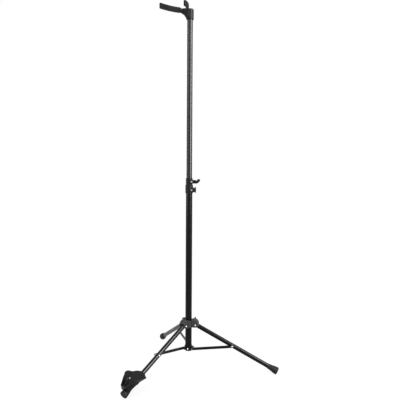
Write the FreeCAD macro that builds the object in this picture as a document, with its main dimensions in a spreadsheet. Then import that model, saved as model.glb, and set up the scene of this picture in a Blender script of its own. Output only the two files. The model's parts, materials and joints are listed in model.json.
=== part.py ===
import FreeCAD
import Part
import Sketcher
import math
import os
import re

# Double bass stand: a folding tripod with a sliding leg hub, a telescopic column with a
# two-bolt clamp, an endpin cup on the front leg and a turning neck fork at the top.
# Frame: origin on the column's axis at floor level, +Z up, the cup leg along -Y.

# Driving sizes in millimetres, degrees and counts: word, value, what it is.
SIZES = [
    ("seat_gap", 0.05, "gap of pieces that are fixed in each other"),
    ("running_gap", 0.1, "radial gap of pieces that slide in each other"),
    ("side_gap", 0.3, "gap beside pieces that turn past each other"),
    ("cut_overrun", 2, "how far a cut runs past the face it opens"),
    ("leg_count", 3, "legs round the column"),
    ("front_azimuth", -90, "direction of the leg that carries the endpin cup"),

    ("lower_tube_radius", 15, "outside of the lower column tube"),
    ("upper_tube_radius", 13, "outside of the upper column tube"),
    ("tube_wall", 1.5, "wall of all tubes"),
    ("lower_tube_length", 758, "lower column tube"),
    ("column_overlap", 130, "upper tube inside the lower one as set up"),
    ("upper_tube_length", 934, "upper column tube"),

    ("strut_pivot_height", 94.3, "strut pivots above the floor"),
    ("strut_pivot_reach", 18.5, "strut pivots from the column's axis"),
    ("base_radius", 18, "bottom hub at its skirt"),
    ("base_neck_radius", 17, "bottom hub at its top edge"),
    ("base_rise", 13, "bottom hub above the strut pivots"),
    ("base_drop", 12, "bottom hub below the strut pivots"),
    ("base_floor", 5, "floor of the bottom hub under the tube"),
    ("base_rounding", 6, "rounded lower edge of the bottom hub"),
    ("lug_inner_side", 11.5, "lug beyond the leg's middle plane on its plain side"),

    ("leg_radius", 10, "outside of the leg tubes"),
    ("leg_slope", 27, "slope of the legs as set up"),
    ("leg_length", 419, "leg from its hub pivot to the foot's end face"),
    ("leg_tube_start", 13, "leg tube's top end from the hub pivot"),
    ("leg_spigot", 24, "spigot of the leg's end fitting in the tube"),
    ("hub_pivot_reach", 34.2, "leg pivots from the column's axis"),
    ("strut_joint", 190, "strut joint from the hub pivot along the leg"),

    ("foot_radius", 16.5, "rubber foot at its end"),
    ("foot_neck_radius", 11.6, "rubber foot at its mouth"),
    ("foot_length", 47, "rubber foot along the leg"),
    ("foot_floor", 4, "rubber beyond the end of the leg tube"),
    ("foot_rounding", 3, "rounded edge of the foot's end"),
    ("foot_end_band", 13, "straight part at the foot's end"),
    ("foot_flat", 1, "how deep the feet are worn flat on the floor"),
    ("front_foot_rise", 5, "front foot over the leg's axis where the cup lies over it"),

    ("strut_thickness", 4, "flat bar of the struts"),
    ("strut_width", 11.5, "height of the strut bar"),
    ("strut_offset", 14.4, "strut's middle plane beside the leg's middle plane"),
    ("ear_radius", 6, "rounded ends of struts and lugs"),
    ("rivet_radius", 2.5, "shank of all rivets"),
    ("rivet_head_radius", 4.4, "domed heads of the rivets"),
    ("rivet_head_height", 1.9, "height of the rivet heads"),
    ("boss_radius", 6.5, "spacer between leg and strut"),

    ("hub_rise", 26, "leg pockets of the hub above the leg pivots"),
    ("barrel_rise", 19, "barrel of the leg hub above the leg pivots"),
    ("hub_drop", 11, "leg hub below the leg pivots"),
    ("hub_radius", 21.5, "barrel of the leg hub"),
    ("hub_reach", 46, "leg pockets of the hub from the column's axis"),
    ("hub_shoulder", 19, "rounded top of the leg pockets"),
    ("hub_chin", 12, "rounded bottom of the leg pockets"),
    ("cheek_thickness", 5.7, "side walls of the leg pockets"),
    ("hub_edge", 1.5, "bevel at the barrel's ends"),
    ("bush_wall", 1.2, "plastic bush between leg hub and tube"),
    ("pocket_roof_gap", 2, "free height over the leg's end in its pocket"),

    ("thread_radius", 3, "clamping screws"),
    ("insert_radius", 6, "threaded insert of the wing screw"),
    ("insert_length", 14.5, "threaded insert along the screw"),
    ("boss_wall", 3, "wall round the threaded insert"),
    ("hub_screw_rise", 9, "wing screw above the leg pivots"),
    ("wing_grip_radius", 5.2, "barrel of the wing screw and wing nut"),
    ("wing_span", 13, "wings from the screw's axis"),
    ("wing_thickness", 5, "thickness of the wings"),
    ("wing_depth", 5.5, "wings along the screw's axis"),
    ("wing_rounding", 2.5, "rounded corners of the wings"),
    ("screw_neck", 12, "neck of the hub's wing screw under its wings"),

    ("collar_length", 69, "clamp collar"),
    ("collar_upper_length", 32, "part of the collar round the upper tube"),
    ("collar_lower_radius", 17.6, "collar round the lower tube"),
    ("collar_upper_radius", 15.4, "collar round the upper tube"),
    ("collar_bevel", 1.6, "bevels of the collar"),
    ("clamp_azimuth", 0, "direction of the collar's slot and ears"),
    ("slot_width", 2.4, "slot between the clamp ears"),
    ("clamp_ear_thickness", 7, "each clamp ear"),
    ("clamp_ear_reach", 25.5, "clamp ears from the column's axis"),
    ("upper_ear_height", 17, "height of the upper clamp ears"),
    ("lower_ear_height", 22, "height of the lower clamp ears"),
    ("clamp_bolt_reach", 21, "clamp bolts from the column's axis"),
    ("upper_bolt_drop", 16, "upper clamp bolt below the collar's top"),
    ("lower_bolt_rise", 15, "lower clamp bolt above the collar's bottom"),
    ("bolt_head_radius", 4.8, "domed bolt heads"),
    ("bolt_head_height", 3.2, "height of the bolt heads"),

    ("lever_grip_radius", 7.6, "boss of the clamp lever"),
    ("lever_width", 8, "clamp lever along its bolt"),
    ("lever_thickness", 13, "clamp lever's arm"),
    ("lever_bend_radius", 21.5, "bend of the clamp lever's arm"),
    ("lever_root_angle", 18.6, "arm behind its lowest point"),
    ("lever_tip_angle", 55.2, "arm beyond its lowest point"),
    ("lever_low_reach", 6.5, "lowest point of the arm from the bolt"),
    ("lever_low_drop", 2.2, "lowest point of the arm under the bolt"),

    ("fork_hub_radius", 17, "fork hub on top of the upper tube"),
    ("fork_hub_length", 51, "fork hub"),
    ("fork_hub_bevel", 2, "bevels of the fork hub"),
    ("cap_radius", 14.5, "plug in the top of the fork hub"),
    ("cap_height", 2.5, "visible disc of the plug"),
    ("cap_depth", 6, "plug inside the upper tube"),
    ("fork_azimuth", -75.6, "direction in which the fork opens"),
    ("fork_drop", 8, "fork's upper edge below the fork hub's top"),
    ("arm_bend_radius", 220.6, "inner face of a fork arm"),
    ("arm_root_reach", 48.1, "start of the inner face ahead of the column"),
    ("arm_root_side", -4.6, "start of the inner face beside the fork's middle"),
    ("arm_root_angle", 43.1, "fork arm against the fork's middle at its root"),
    ("arm_sweep", 36.3, "turn of a fork arm from root to tip"),
    ("sleeve_root_sweep", 7, "bare turn of the arm before its rubber sleeve"),
    ("sleeve_thickness", 10.4, "rubber sleeve across the arm"),
    ("sleeve_height", 24, "rubber sleeve"),
    ("sleeve_rounding", 2, "rounded long edges of the sleeves"),
    ("arm_thickness", 4, "flat bar of the fork arms"),
    ("arm_height", 18, "flat bar of the fork arms"),
    ("stem_width", 18, "stem between fork hub and arms"),
    ("stem_reach", 60, "end of the stem from the column's axis"),
    ("stem_spread", 40, "width of the stem where it carries the arms"),

    ("cup_back_setback", 136, "point of the cup's back edge before its rounding"),
    ("corner_low_setback", 102, "lower corners of the cup's wall"),
    ("corner_high_setback", 83, "corners of the wall carried up to the highest rim"),
    ("waist_low_setback", 76, "waist of the cup's plan at the wall's foot"),
    ("waist_high_setback", 67, "waist of the cup's plan at the highest rim"),
    ("cup_toe_setback", 16, "cup's end face"),
    ("corner_low_side", 46, "lower corners of the wall beside the leg"),
    ("corner_high_side", 83, "upper corners of the wall beside the leg"),
    ("waist_low_side", 33.5, "waist at the wall's foot beside the leg"),
    ("waist_high_side", 44, "waist at the highest rim beside the leg"),
    ("toe_low_side", 24, "end face at the wall's foot beside the leg"),
    ("toe_high_side", 12, "end face at the highest rim beside the leg"),
    ("cup_corner_radius", 5, "rounded corners of the wall"),
    ("waist_radius", 30, "rounded waist of the wall"),
    ("toe_corner_radius", 10, "rounded corners of the end face"),
    ("tray_floor", 3.5, "floor of the cup"),
    ("tray_wall", 3.5, "wall of the cup"),
    ("rim_high", 38, "highest rim over the leg's axis"),
    ("rim_corner", 23, "rim at the corners over the leg's axis"),
    ("rim_toe", 36, "rim at the end face over the leg's axis"),
    ("rim_corner_setback", 96, "start of the rising rim"),
    ("rim_peak_setback", 61, "highest rim"),
    ("saddle_thickness", 2.6, "steel saddle that holds the cup to the leg"),
    ("saddle_length", 25, "saddle along the leg"),
    ("saddle_half_width", 30, "wings of the saddle"),
    ("cup_rivet_side", 25, "cup rivets beside the leg's middle"),
    ("cup_rivet_setback", 74.5, "cup rivets"),
]

# Sizes that follow from the driving ones, in words of both lists.
WORKED_OUT = {
    "foot_drop": "foot_rounding * (1 - sin(leg_slope) - cos(leg_slope)) - foot_flat",
    "hub_pivot_height": "leg_length * sin(leg_slope) + foot_radius * cos(leg_slope) + foot_drop",
    "joint_reach": "hub_pivot_reach + strut_joint * cos(leg_slope)",
    "joint_height": "hub_pivot_height - strut_joint * sin(leg_slope)",
    "strut_run": "joint_reach - strut_pivot_reach",
    "strut_rise": "joint_height - strut_pivot_height",
    "strut_length": "sqrt(strut_run * strut_run + strut_rise * strut_rise)",
    "strut_slope": "atan(strut_rise / strut_run)",
    "strut_inner_side": "strut_offset - strut_thickness / 2",
    "strut_outer_side": "strut_offset + strut_thickness / 2",
    "boss_face": "strut_inner_side - side_gap",
    "rivet_hole_radius": "rivet_radius + seat_gap",
    "base_top": "strut_pivot_height + base_rise",
    "base_bottom": "strut_pivot_height - base_drop",
    "tube_bottom": "base_bottom + base_floor",
    "lower_tube_top": "tube_bottom + lower_tube_length",
    "upper_tube_bottom": "lower_tube_top - column_overlap",
    "upper_tube_top": "upper_tube_bottom + upper_tube_length",
    "lower_bore_radius": "lower_tube_radius - tube_wall",
    "upper_bore_radius": "upper_tube_radius - tube_wall",
    "leg_bore_radius": "leg_radius - tube_wall",
    "hub_top": "hub_pivot_height + hub_rise",
    "hub_bottom": "hub_pivot_height - hub_drop",
    "barrel_top": "hub_pivot_height + barrel_rise",
    "bush_inner_radius": "lower_tube_radius + running_gap",
    "hub_bore_radius": "bush_inner_radius + bush_wall + seat_gap",
    "pocket_half": "leg_radius + side_gap",
    "cheek_face": "pocket_half + cheek_thickness",
    "pocket_back": "hub_pivot_reach - leg_radius - side_gap",
    "pocket_roof": "hub_pivot_height + leg_radius + pocket_roof_gap",
    "hub_screw_height": "hub_pivot_height + hub_screw_rise",
    "insert_start": "hub_bore_radius + bush_wall",
    "boss_end": "insert_start + insert_length",
    "screw_grip_start": "boss_end + side_gap",
    "screw_tip": "lower_tube_radius + side_gap",
    "collar_lower_length": "collar_length - collar_upper_length",
    "collar_top": "lower_tube_top + collar_upper_length",
    "collar_bottom": "lower_tube_top - collar_lower_length",
    "upper_bolt_height": "collar_top - upper_bolt_drop",
    "lower_bolt_height": "collar_bottom + lower_bolt_rise",
    "ear_face": "slot_width / 2 + clamp_ear_thickness",
    "grip_start": "ear_face + side_gap",
    "nut_beside_collar": "clamp_bolt_reach - wing_span",
    "nut_wing_start": "sqrt(collar_lower_radius * collar_lower_radius"
                      " - nut_beside_collar * nut_beside_collar) + 2 * side_gap",
    "nut_base": "nut_wing_start - grip_start",
    "fork_hub_top": "upper_tube_top + cap_height",
    "fork_hub_bottom": "fork_hub_top - fork_hub_length",
    "fork_top": "fork_hub_top - fork_drop",
    "fork_middle": "fork_top - sleeve_height / 2",
    "arm_centre_ahead": "arm_root_reach + arm_bend_radius * sin(arm_root_angle)",
    "arm_centre_side": "arm_root_side - arm_bend_radius * cos(arm_root_angle)",
    "arm_tip_angle": "arm_root_angle - arm_sweep",
    "sleeve_middle_radius": "arm_bend_radius + sleeve_thickness / 2",
    "cup_back": "leg_length - cup_back_setback",
    "cup_toe": "leg_length - cup_toe_setback",
    "cup_rivet_place": "leg_length - cup_rivet_setback",
    "tray_underside": "leg_radius + side_gap",
    "tray_top": "tray_underside + tray_floor",
}

DOC = FreeCAD.newDocument("DoubleBassStand")
SHEET = DOC.addObject("Spreadsheet::Sheet", "Sizes")
X_AXIS = FreeCAD.Vector(1, 0, 0)
Y_AXIS = FreeCAD.Vector(0, 1, 0)
Z_AXIS = FreeCAD.Vector(0, 0, 1)
QUARTER = 90
HALF_TURN = 180
FULL_TURN = 360
# Shares: a rivet head's straight edge and flat crown, an end that is all but half round,
# the cup's rounded back edge of its half width, and the plug's flat crown.
DOME_EDGE = 0.3
DOME_CROWN = 0.55
FULL_ROUND = 0.98
BACK_ROUND = 1.15
CAP_CROWN = 0.8
WORD = re.compile(r"[a-z]+(?:_[a-z]+)+")
NODES = []


def fill_sheet():
    """Puts the driving sizes into the sheet, one row each."""
    for row, (word, size, meaning) in enumerate(SIZES, start=1):
        SHEET.set(f"A{row}", meaning)
        SHEET.set(f"B{row}", str(size))
        SHEET.setAlias(f"B{row}", word)
    DOC.recompute()


def bound(text):
    """The text of a size with worked-out words written out and sheet words addressed."""
    def written_out(match):
        word = match.group(0)
        if word in WORKED_OUT:
            return "(" + bound(WORKED_OUT[word]) + ")"
        return "Sizes." + word
    return WORD.sub(written_out, str(text))


def number(text):
    """The value of a size in millimetres or degrees."""
    return float(SHEET.evalExpression(bound(text).replace("Sizes.", "")))


def at(x=0, y=0, z=0):
    return FreeCAD.Vector(number(x), number(y), number(z))


def shift(x=0, y=0, z=0):
    return FreeCAD.Placement(at(x, y, z), FreeCAD.Rotation())


def turn(axis, degrees):
    return FreeCAD.Placement(FreeCAD.Vector(), FreeCAD.Rotation(axis, number(degrees)))


def azimuth(index):
    """Direction of a leg: the front one is 0, then counterclockwise from above."""
    return number(f"front_azimuth + {index} * {FULL_TURN} / leg_count")


def leg_frame(index):
    """X down the leg from its hub pivot, Y to its left, Z out of its upper side."""
    return turn(Z_AXIS, azimuth(index)) * shift("hub_pivot_reach", 0, "hub_pivot_height") \
        * turn(Y_AXIS, "leg_slope")


def strut_frame(index):
    """X up the strut from its lower pivot, Y to the leg's left."""
    return turn(Z_AXIS, azimuth(index)) * shift("strut_pivot_reach", 0, "strut_pivot_height") \
        * turn(Y_AXIS, "-strut_slope")


def clamp_frame(height):
    """X out through the clamp ears, Y along the bolt towards its handle, at a bolt's height."""
    return turn(Z_AXIS, "clamp_azimuth") * shift(0, 0, height)


def along_y(x, y, z):
    """For a cylinder: its start at the given point, its axis along +Y."""
    return shift(x, y, z) * turn(X_AXIS, -QUARTER)


def along_x(x, y, z):
    """For a cylinder: its start at the given point, its axis along +X."""
    return shift(x, y, z) * turn(Y_AXIS, QUARTER)


def bind(thing, **sizes):
    for key, text in sizes.items():
        thing.setExpression(key, bound(text))
    return thing


def cylinder(name, radius, length, place=None):
    thing = bind(DOC.addObject("Part::Cylinder", name), Radius=radius, Height=length)
    thing.Placement = place or FreeCAD.Placement()
    return thing


def box(name, low, high, frame=None):
    """A block from its low corner to its high corner in a frame."""
    spans = [f"({b}) - ({a})" for a, b in zip(low, high)]
    thing = bind(DOC.addObject("Part::Box", name), Length=spans[0], Width=spans[1], Height=spans[2])
    thing.Placement = (frame or FreeCAD.Placement()) * shift(*low)
    return thing


def cut(name, base, tool):
    thing = DOC.addObject("Part::Cut", name)
    thing.Base = base
    thing.Tool = tool
    return thing


def fuse(name, pieces):
    thing = DOC.addObject("Part::MultiFuse", name)
    thing.Shapes = pieces
    return thing


def group(name, pieces):
    """Several like solids that share one node."""
    thing = DOC.addObject("Part::Compound", name)
    thing.Links = pieces
    return thing


def node(thing, label):
    """Marks a finished sub-part under the name of its file."""
    thing.Label = label
    NODES.append(thing)
    return thing


def body(name):
    return DOC.addObject("PartDesign::Body", name)


def origin_feature(owner, role):
    return next(f for f in owner.Origin.OriginFeatures if f.Role == role)


def arc_at_corner(before, corner, after, radius):
    """Start and end of a rounding, its counterclockwise arc, and whether it runs forwards."""
    back = (before - corner).normalize()
    ahead = (after - corner).normalize()
    half = back.getAngle(ahead) / 2
    start = corner + back * (radius / math.tan(half))
    end = corner + ahead * (radius / math.tan(half))
    centre = corner + (back + ahead).normalize() * (radius / math.sin(half))
    forward = back.cross(ahead).z < 0
    spokes = [point - centre for point in ((start, end) if forward else (end, start))]
    first, last = (math.atan2(spoke.y, spoke.x) for spoke in spokes)
    if last < first:
        last += 2 * math.pi
    return start, end, Part.ArcOfCircle(Part.Circle(centre, Z_AXIS, radius), first, last), forward


def outline(owner, name, plane, corners, lift="0"):
    """A closed sketch through corners (x, y) or (x, y, rounding), each bound to the sheet."""
    sketch = owner.newObject("Sketcher::SketchObject", name)
    sketch.AttachmentSupport = [(origin_feature(owner, plane), "")]
    sketch.MapMode = "FlatFace"
    sketch.setExpression("AttachmentOffset.Base.z", bound(lift))
    points = [at(c[0], c[1]) for c in corners]
    count = len(points)
    starts, ends, arcs = [None] * count, [None] * count, {}
    for i, corner in enumerate(corners):
        starts[i], ends[i] = points[i], points[i]
        if len(corner) > 2:
            starts[i], ends[i], *arcs[i] = arc_at_corner(
                points[i - 1], points[i], points[(i + 1) % count], number(corner[2]))
    lines = [sketch.addGeometry(Part.LineSegment(ends[i], starts[(i + 1) % count]))
             for i in range(count)]
    for i, corner in enumerate(corners):
        into, out = lines[i - 1], lines[i]
        if i in arcs:
            mark = sketch.addGeometry(Part.Point(points[i]), True)
            arc, forward = arcs[i]
            bend = sketch.addGeometry(arc)
            first, last = (1, 2) if forward else (2, 1)
            sketch.addConstraint(Sketcher.Constraint("PointOnObject", mark, 1, into))
            sketch.addConstraint(Sketcher.Constraint("PointOnObject", mark, 1, out))
            sketch.addConstraint(Sketcher.Constraint("Tangent", into, 2, bend, first))
            sketch.addConstraint(Sketcher.Constraint("Tangent", bend, last, out, 1))
            rounding = sketch.addConstraint(
                Sketcher.Constraint("Radius", bend, number(corner[2])))
            sketch.setExpression(f"Constraints[{rounding}]", bound(corner[2]))
        else:
            mark = out
            sketch.addConstraint(Sketcher.Constraint("Coincident", into, 2, out, 1))
        for kind, text, place in (("DistanceX", corner[0], points[i].x),
                                  ("DistanceY", corner[1], points[i].y)):
            distance = sketch.addConstraint(Sketcher.Constraint(kind, -1, 1, mark, 1, place))
            sketch.setExpression(f"Constraints[{distance}]", bound(text))
    return sketch


def pad(owner, name, sketch, length, midplane=False):
    feature = owner.newObject("PartDesign::Pad", name)
    feature.Profile = sketch
    feature.Midplane = midplane
    return bind(feature, Length=length)


def pocket(owner, name, sketch, length, midplane=True, backwards=False):
    feature = owner.newObject("PartDesign::Pocket", name)
    feature.Profile = sketch
    feature.Midplane = midplane
    feature.Reversed = backwards
    return bind(feature, Length=length)


def revolve(owner, name, sketch, axis):
    feature = owner.newObject("PartDesign::Revolution", name)
    feature.Profile = sketch
    feature.ReferenceAxis = (sketch, [axis])
    feature.Angle = FULL_TURN
    return feature


def polar(owner, name, feature):
    """Repeats a feature of the front leg round the column, once for each leg."""
    DOC.recompute()
    pattern = owner.newObject("PartDesign::PolarPattern", name)
    pattern.Originals = [feature]
    pattern.Axis = (origin_feature(owner, "Z_Axis"), [""])
    pattern.Angle = FULL_TURN
    pattern.setExpression("Occurrences", bound("leg_count"))
    owner.Tip = pattern
    return pattern


def tube(name, radius, start, length, place):
    """A round tube along X of a frame."""
    outside = cylinder(name + "_outside", radius, length, place * along_x(start, 0, 0))
    bore = cylinder(name + "_bore", f"({radius}) - tube_wall", f"({length}) + 2 * cut_overrun",
                    place * along_x(f"({start}) - cut_overrun", 0, 0))
    return cut(name, outside, bore)


def domed_head(name, radius, height, place):
    """A shallow dome along +Z of its place, on a flat seat."""
    head = body(name)
    profile = outline(head, name + "_profile", "XZ_Plane", [
        (0, 0), (radius, 0), (radius, f"({height}) * {DOME_EDGE}"),
        (f"({radius}) * {DOME_CROWN}", height), (0, height)])
    revolve(head, name + "_turned", profile, "V_Axis")
    head.Placement = place
    return head


def rivet(name, start, end, place, both_heads=True):
    """A rivet along Y of a frame, with domed heads beyond its grip, or a flush far end."""
    shank = cylinder(name + "_shank", "rivet_radius", f"({end}) - ({start})",
                     place * along_y(0, start, 0))
    near = domed_head(name + "_near_head", "rivet_head_radius", "rivet_head_height",
                      place * shift(0, start, 0) * turn(X_AXIS, QUARTER))
    pieces = [shank, near]
    if both_heads:
        pieces.append(domed_head(name + "_far_head", "rivet_head_radius", "rivet_head_height",
                                 place * shift(0, end, 0) * turn(X_AXIS, -QUARTER)))
    return fuse(name, pieces)


def pivot_holes(name, reach, height, start, end):
    """Cross holes at the same place of each leg, as one cutting tool."""
    pins = [cylinder(f"{name}_{i}", "rivet_hole_radius", f"({end}) - ({start})",
                     turn(Z_AXIS, azimuth(i)) * along_y(reach, start, height))
            for i in range(int(number("leg_count")))]
    return fuse(name, pins)


# Column, bottom hub and strut pivots

def lower_tube():
    outside = cylinder("lower_tube_outside", "lower_tube_radius", "lower_tube_length",
                       shift(0, 0, "tube_bottom"))
    bore = cylinder("lower_tube_bore", "lower_bore_radius", "lower_tube_length + 2 * cut_overrun",
                    shift(0, 0, "tube_bottom - cut_overrun"))
    node(cut("lower_tube_cut", outside, bore), "lower_tube")


def bottom_hub():
    """A skirted socket under the tube with one lug for each strut."""
    hub = body("base_body")
    profile = outline(hub, "base_profile", "XZ_Plane", [
        (0, "base_bottom"),
        ("base_radius", "base_bottom", "base_rounding"),
        ("base_radius", "strut_pivot_height + base_rise / 3"),
        ("base_neck_radius", "base_top - base_rise / 4"),
        ("base_neck_radius", "base_top"),
        (0, "base_top")])
    revolve(hub, "base_turned", profile, "V_Axis")
    rounding = f"ear_radius * {FULL_ROUND}"
    side = outline(hub, "lug_side", "XZ_Plane", [
        ("base_radius / 2", "strut_pivot_height - ear_radius"),
        ("strut_pivot_reach + ear_radius", "strut_pivot_height - ear_radius", rounding),
        ("strut_pivot_reach + ear_radius", "strut_pivot_height + ear_radius", rounding),
        ("base_radius / 2", "strut_pivot_height + ear_radius")])
    lug = pad(hub, "lug", side, "boss_face + lug_inner_side")
    side.setExpression("AttachmentOffset.Base.z", bound("-lug_inner_side"))
    polar(hub, "lugs", lug)
    hub.Placement = turn(Z_AXIS, azimuth(0))
    socket = cylinder("base_socket", "lower_tube_radius + seat_gap", "base_top - tube_bottom + cut_overrun",
                      shift(0, 0, "tube_bottom"))
    holes = pivot_holes("base_holes", "strut_pivot_reach", "strut_pivot_height",
                        "-strut_outer_side", "lug_inner_side + cut_overrun")
    clear = "strut_pivot_height - ear_radius - side_gap"
    rooms = [box(f"base_room_{i}", ("strut_pivot_reach - ear_radius - side_gap",
                                    "-2 * strut_outer_side", clear),
                 ("2 * base_radius", "-boss_face", "base_top + cut_overrun"),
                 turn(Z_AXIS, azimuth(i))) for i in range(int(number("leg_count")))]
    screw_hole = cylinder("base_screw_hole", "thread_radius + seat_gap", "base_floor + 2 * cut_overrun",
                          shift(0, 0, "base_bottom - cut_overrun"))
    node(cut("base_cut", hub, fuse("base_tools", [socket, holes, screw_hole] + rooms)), "bottom_hub")


def tube_end_plug():
    """A plastic plug in the foot of the column, which takes the bottom hub's screw."""
    plug = cylinder("end_plug_body", "lower_bore_radius - seat_gap", "base_rise + base_drop",
                    shift(0, 0, "tube_bottom"))
    thread = cylinder("end_plug_thread", "thread_radius + seat_gap", "base_rise + base_drop + cut_overrun",
                      shift(0, 0, "tube_bottom - cut_overrun"))
    node(cut("end_plug_cut", plug, thread), "tube_end_plug")


def base_screw():
    """The screw that holds the bottom hub to the plug, with its head under the hub's floor."""
    shank = cylinder("base_screw_shank", "thread_radius", "base_floor + base_drop",
                     shift(0, 0, "base_bottom"))
    head = domed_head("base_screw_head", "insert_radius", "bolt_head_height",
                      shift(0, 0, "base_bottom") * turn(X_AXIS, HALF_TURN))
    node(fuse("base_screw_fuse", [shank, head]), "base_screw")


def strut_pivot_rivets():
    rivets = [rivet(f"strut_pivot_{i}", "-lug_inner_side", "strut_outer_side",
                    turn(Z_AXIS, azimuth(i)) * shift("strut_pivot_reach", 0, "strut_pivot_height")
                    * turn(Z_AXIS, HALF_TURN), both_heads=False)
              for i in range(int(number("leg_count")))]
    node(group("strut_pivot_group", rivets), "strut_pivot_rivets")


# Leg hub, its bush, rivets and wing screw

def leg_hub():
    """A sliding barrel with a roofed pocket for each leg's end."""
    hub = body("hub_body")
    ring = outline(hub, "hub_ring", "XZ_Plane", [
        ("hub_bore_radius", "hub_bottom"),
        ("hub_radius - hub_edge", "hub_bottom"),
        ("hub_radius", "hub_bottom + hub_edge"),
        ("hub_radius", "barrel_top - hub_edge"),
        ("hub_radius - hub_edge", "barrel_top"),
        ("hub_bore_radius", "barrel_top")])
    revolve(hub, "hub_barrel", ring, "V_Axis")
    side = outline(hub, "cheek_side", "XZ_Plane", [
        ("hub_bore_radius + bush_wall", "hub_bottom + hub_edge"),
        ("hub_reach", "hub_bottom + hub_edge", "hub_chin"),
        ("hub_reach", "hub_top - hub_edge", "hub_shoulder"),
        ("hub_bore_radius + bush_wall", "hub_top - hub_edge")])
    polar(hub, "cheeks", pad(hub, "cheek", side, "2 * cheek_face", midplane=True))
    DOC.recompute()
    room = outline(hub, "pocket_side", "XZ_Plane", [
        ("pocket_back", "hub_bottom - cut_overrun"),
        ("hub_reach + cut_overrun", "hub_bottom - cut_overrun"),
        ("hub_reach + cut_overrun", "pocket_roof"),
        ("pocket_back", "pocket_roof")])
    polar(hub, "pockets", pocket(hub, "pocket", room, "2 * pocket_half"))
    hub.Placement = turn(Z_AXIS, azimuth(0))
    boss = cylinder("hub_boss", "insert_radius + boss_wall", "boss_end - hub_bore_radius - bush_wall / 2",
                    along_y(0, "hub_bore_radius + bush_wall / 2", "hub_screw_height"))
    holes = pivot_holes("hub_holes", "hub_pivot_reach", "hub_pivot_height",
                        "-cheek_face - cut_overrun", "cheek_face + cut_overrun")
    seat = cylinder("insert_seat", "insert_radius + seat_gap", "insert_length + cut_overrun",
                    along_y(0, "insert_start", "hub_screw_height"))
    through = cylinder("screw_through", "thread_radius + seat_gap", "insert_start",
                       along_y(0, "lower_tube_radius", "hub_screw_height"))
    tools = fuse("hub_tools", [holes, seat, through])
    node(cut("hub_cut", fuse("hub_fuse", [hub, boss]), tools), "leg_hub")


def hub_bush():
    """The plastic bush that slides on the lower tube, with a hole for the screw's tip."""
    outside = cylinder("bush_outside", "bush_inner_radius + bush_wall", "barrel_top - hub_bottom",
                       shift(0, 0, "hub_bottom"))
    bore = cylinder("bush_bore", "bush_inner_radius", "barrel_top - hub_bottom + 2 * cut_overrun",
                    shift(0, 0, "hub_bottom - cut_overrun"))
    window = cylinder("bush_window", "thread_radius + side_gap", "hub_radius",
                      along_y(0, 0, "hub_screw_height"))
    node(cut("bush_cut", outside, fuse("bush_tools", [bore, window])), "hub_bush")


def hub_insert():
    nut = cylinder("insert_nut", "insert_radius", "insert_length",
                   along_y(0, "insert_start", "hub_screw_height"))
    thread = cylinder("insert_thread", "thread_radius + seat_gap", "insert_length + 2 * cut_overrun",
                      along_y(0, "insert_start - cut_overrun", "hub_screw_height"))
    node(cut("insert_cut", nut, thread), "hub_insert")


def wings(name, root, start, place):
    """Two flat wings in the plane of a screw that lies along Y of the place. They grow out
    from its root and have their full span from the start."""
    plate = body(name)
    side = outline(plate, name + "_side", "YZ_Plane", [
        (root, "-wing_grip_radius / 2"),
        (start, "-wing_span", "wing_rounding"),
        (f"({start}) + wing_depth", "-wing_span", "wing_rounding"),
        (f"({start}) + wing_depth * 2 / 3", "0"),
        (f"({start}) + wing_depth", "wing_span", "wing_rounding"),
        (start, "wing_span", "wing_rounding"),
        (root, "wing_grip_radius / 2")])
    pad(plate, name + "_plate", side, "wing_thickness", midplane=True)
    plate.Placement = place
    return plate


def hub_wing_screw():
    place = shift(0, 0, "hub_screw_height")
    shank = cylinder("wing_shank", "thread_radius", "screw_grip_start + wing_depth - screw_tip",
                     place * along_y(0, "screw_tip", 0))
    grip = cylinder("wing_grip", "wing_grip_radius", "screw_neck + wing_depth",
                    place * along_y(0, "screw_grip_start", 0))
    root = "screw_grip_start + screw_neck"
    plate = wings("screw_wings", root, root + " + wing_depth / 3", place)
    node(fuse("wing_screw_fuse", [shank, grip, plate]), "hub_wing_screw")


def leg_pivot_rivets():
    rivets = [rivet(f"leg_pivot_{i}", "-cheek_face - seat_gap", "cheek_face + seat_gap",
                    turn(Z_AXIS, azimuth(i)) * shift("hub_pivot_reach", 0, "hub_pivot_height"))
              for i in range(int(number("leg_count")))]
    node(group("leg_pivot_group", rivets), "leg_pivot_rivets")


# Legs, feet and struts

def leg_tube(side, index):
    frame = leg_frame(index)
    bare = tube(f"leg_{side}_pipe", "leg_radius", "leg_tube_start",
                "leg_length - foot_floor - leg_tube_start", frame)
    hole = cylinder(f"leg_{side}_hole", "rivet_hole_radius", "4 * leg_radius",
                    frame * along_y("strut_joint", "-2 * leg_radius", 0))
    node(cut(f"leg_{side}_cut", bare, hole), f"leg_tube_{side}")


def leg_end(side, index):
    """The plastic end fitting: an eye round the hub pivot and a spigot in the tube."""
    frame = leg_frame(index)
    eye = cylinder(f"end_{side}_eye", "leg_bore_radius", "2 * leg_radius - tube_wall",
                   frame * along_y(0, "tube_wall / 2 - leg_radius", 0))
    shoulder = cylinder(f"end_{side}_shoulder", "leg_radius", "leg_tube_start - seat_gap",
                        frame * along_x(0, 0, 0))
    spigot = cylinder(f"end_{side}_spigot", "leg_bore_radius - seat_gap", "leg_tube_start + leg_spigot",
                      frame * along_x(0, 0, 0))
    hole = cylinder(f"end_{side}_hole", "rivet_hole_radius", "4 * leg_radius",
                    frame * along_y(0, "-2 * leg_radius", 0))
    solid = fuse(f"end_{side}_fuse", [eye, shoulder, spigot])
    node(cut(f"end_{side}_cut", solid, hole), f"leg_end_{side}")


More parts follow.
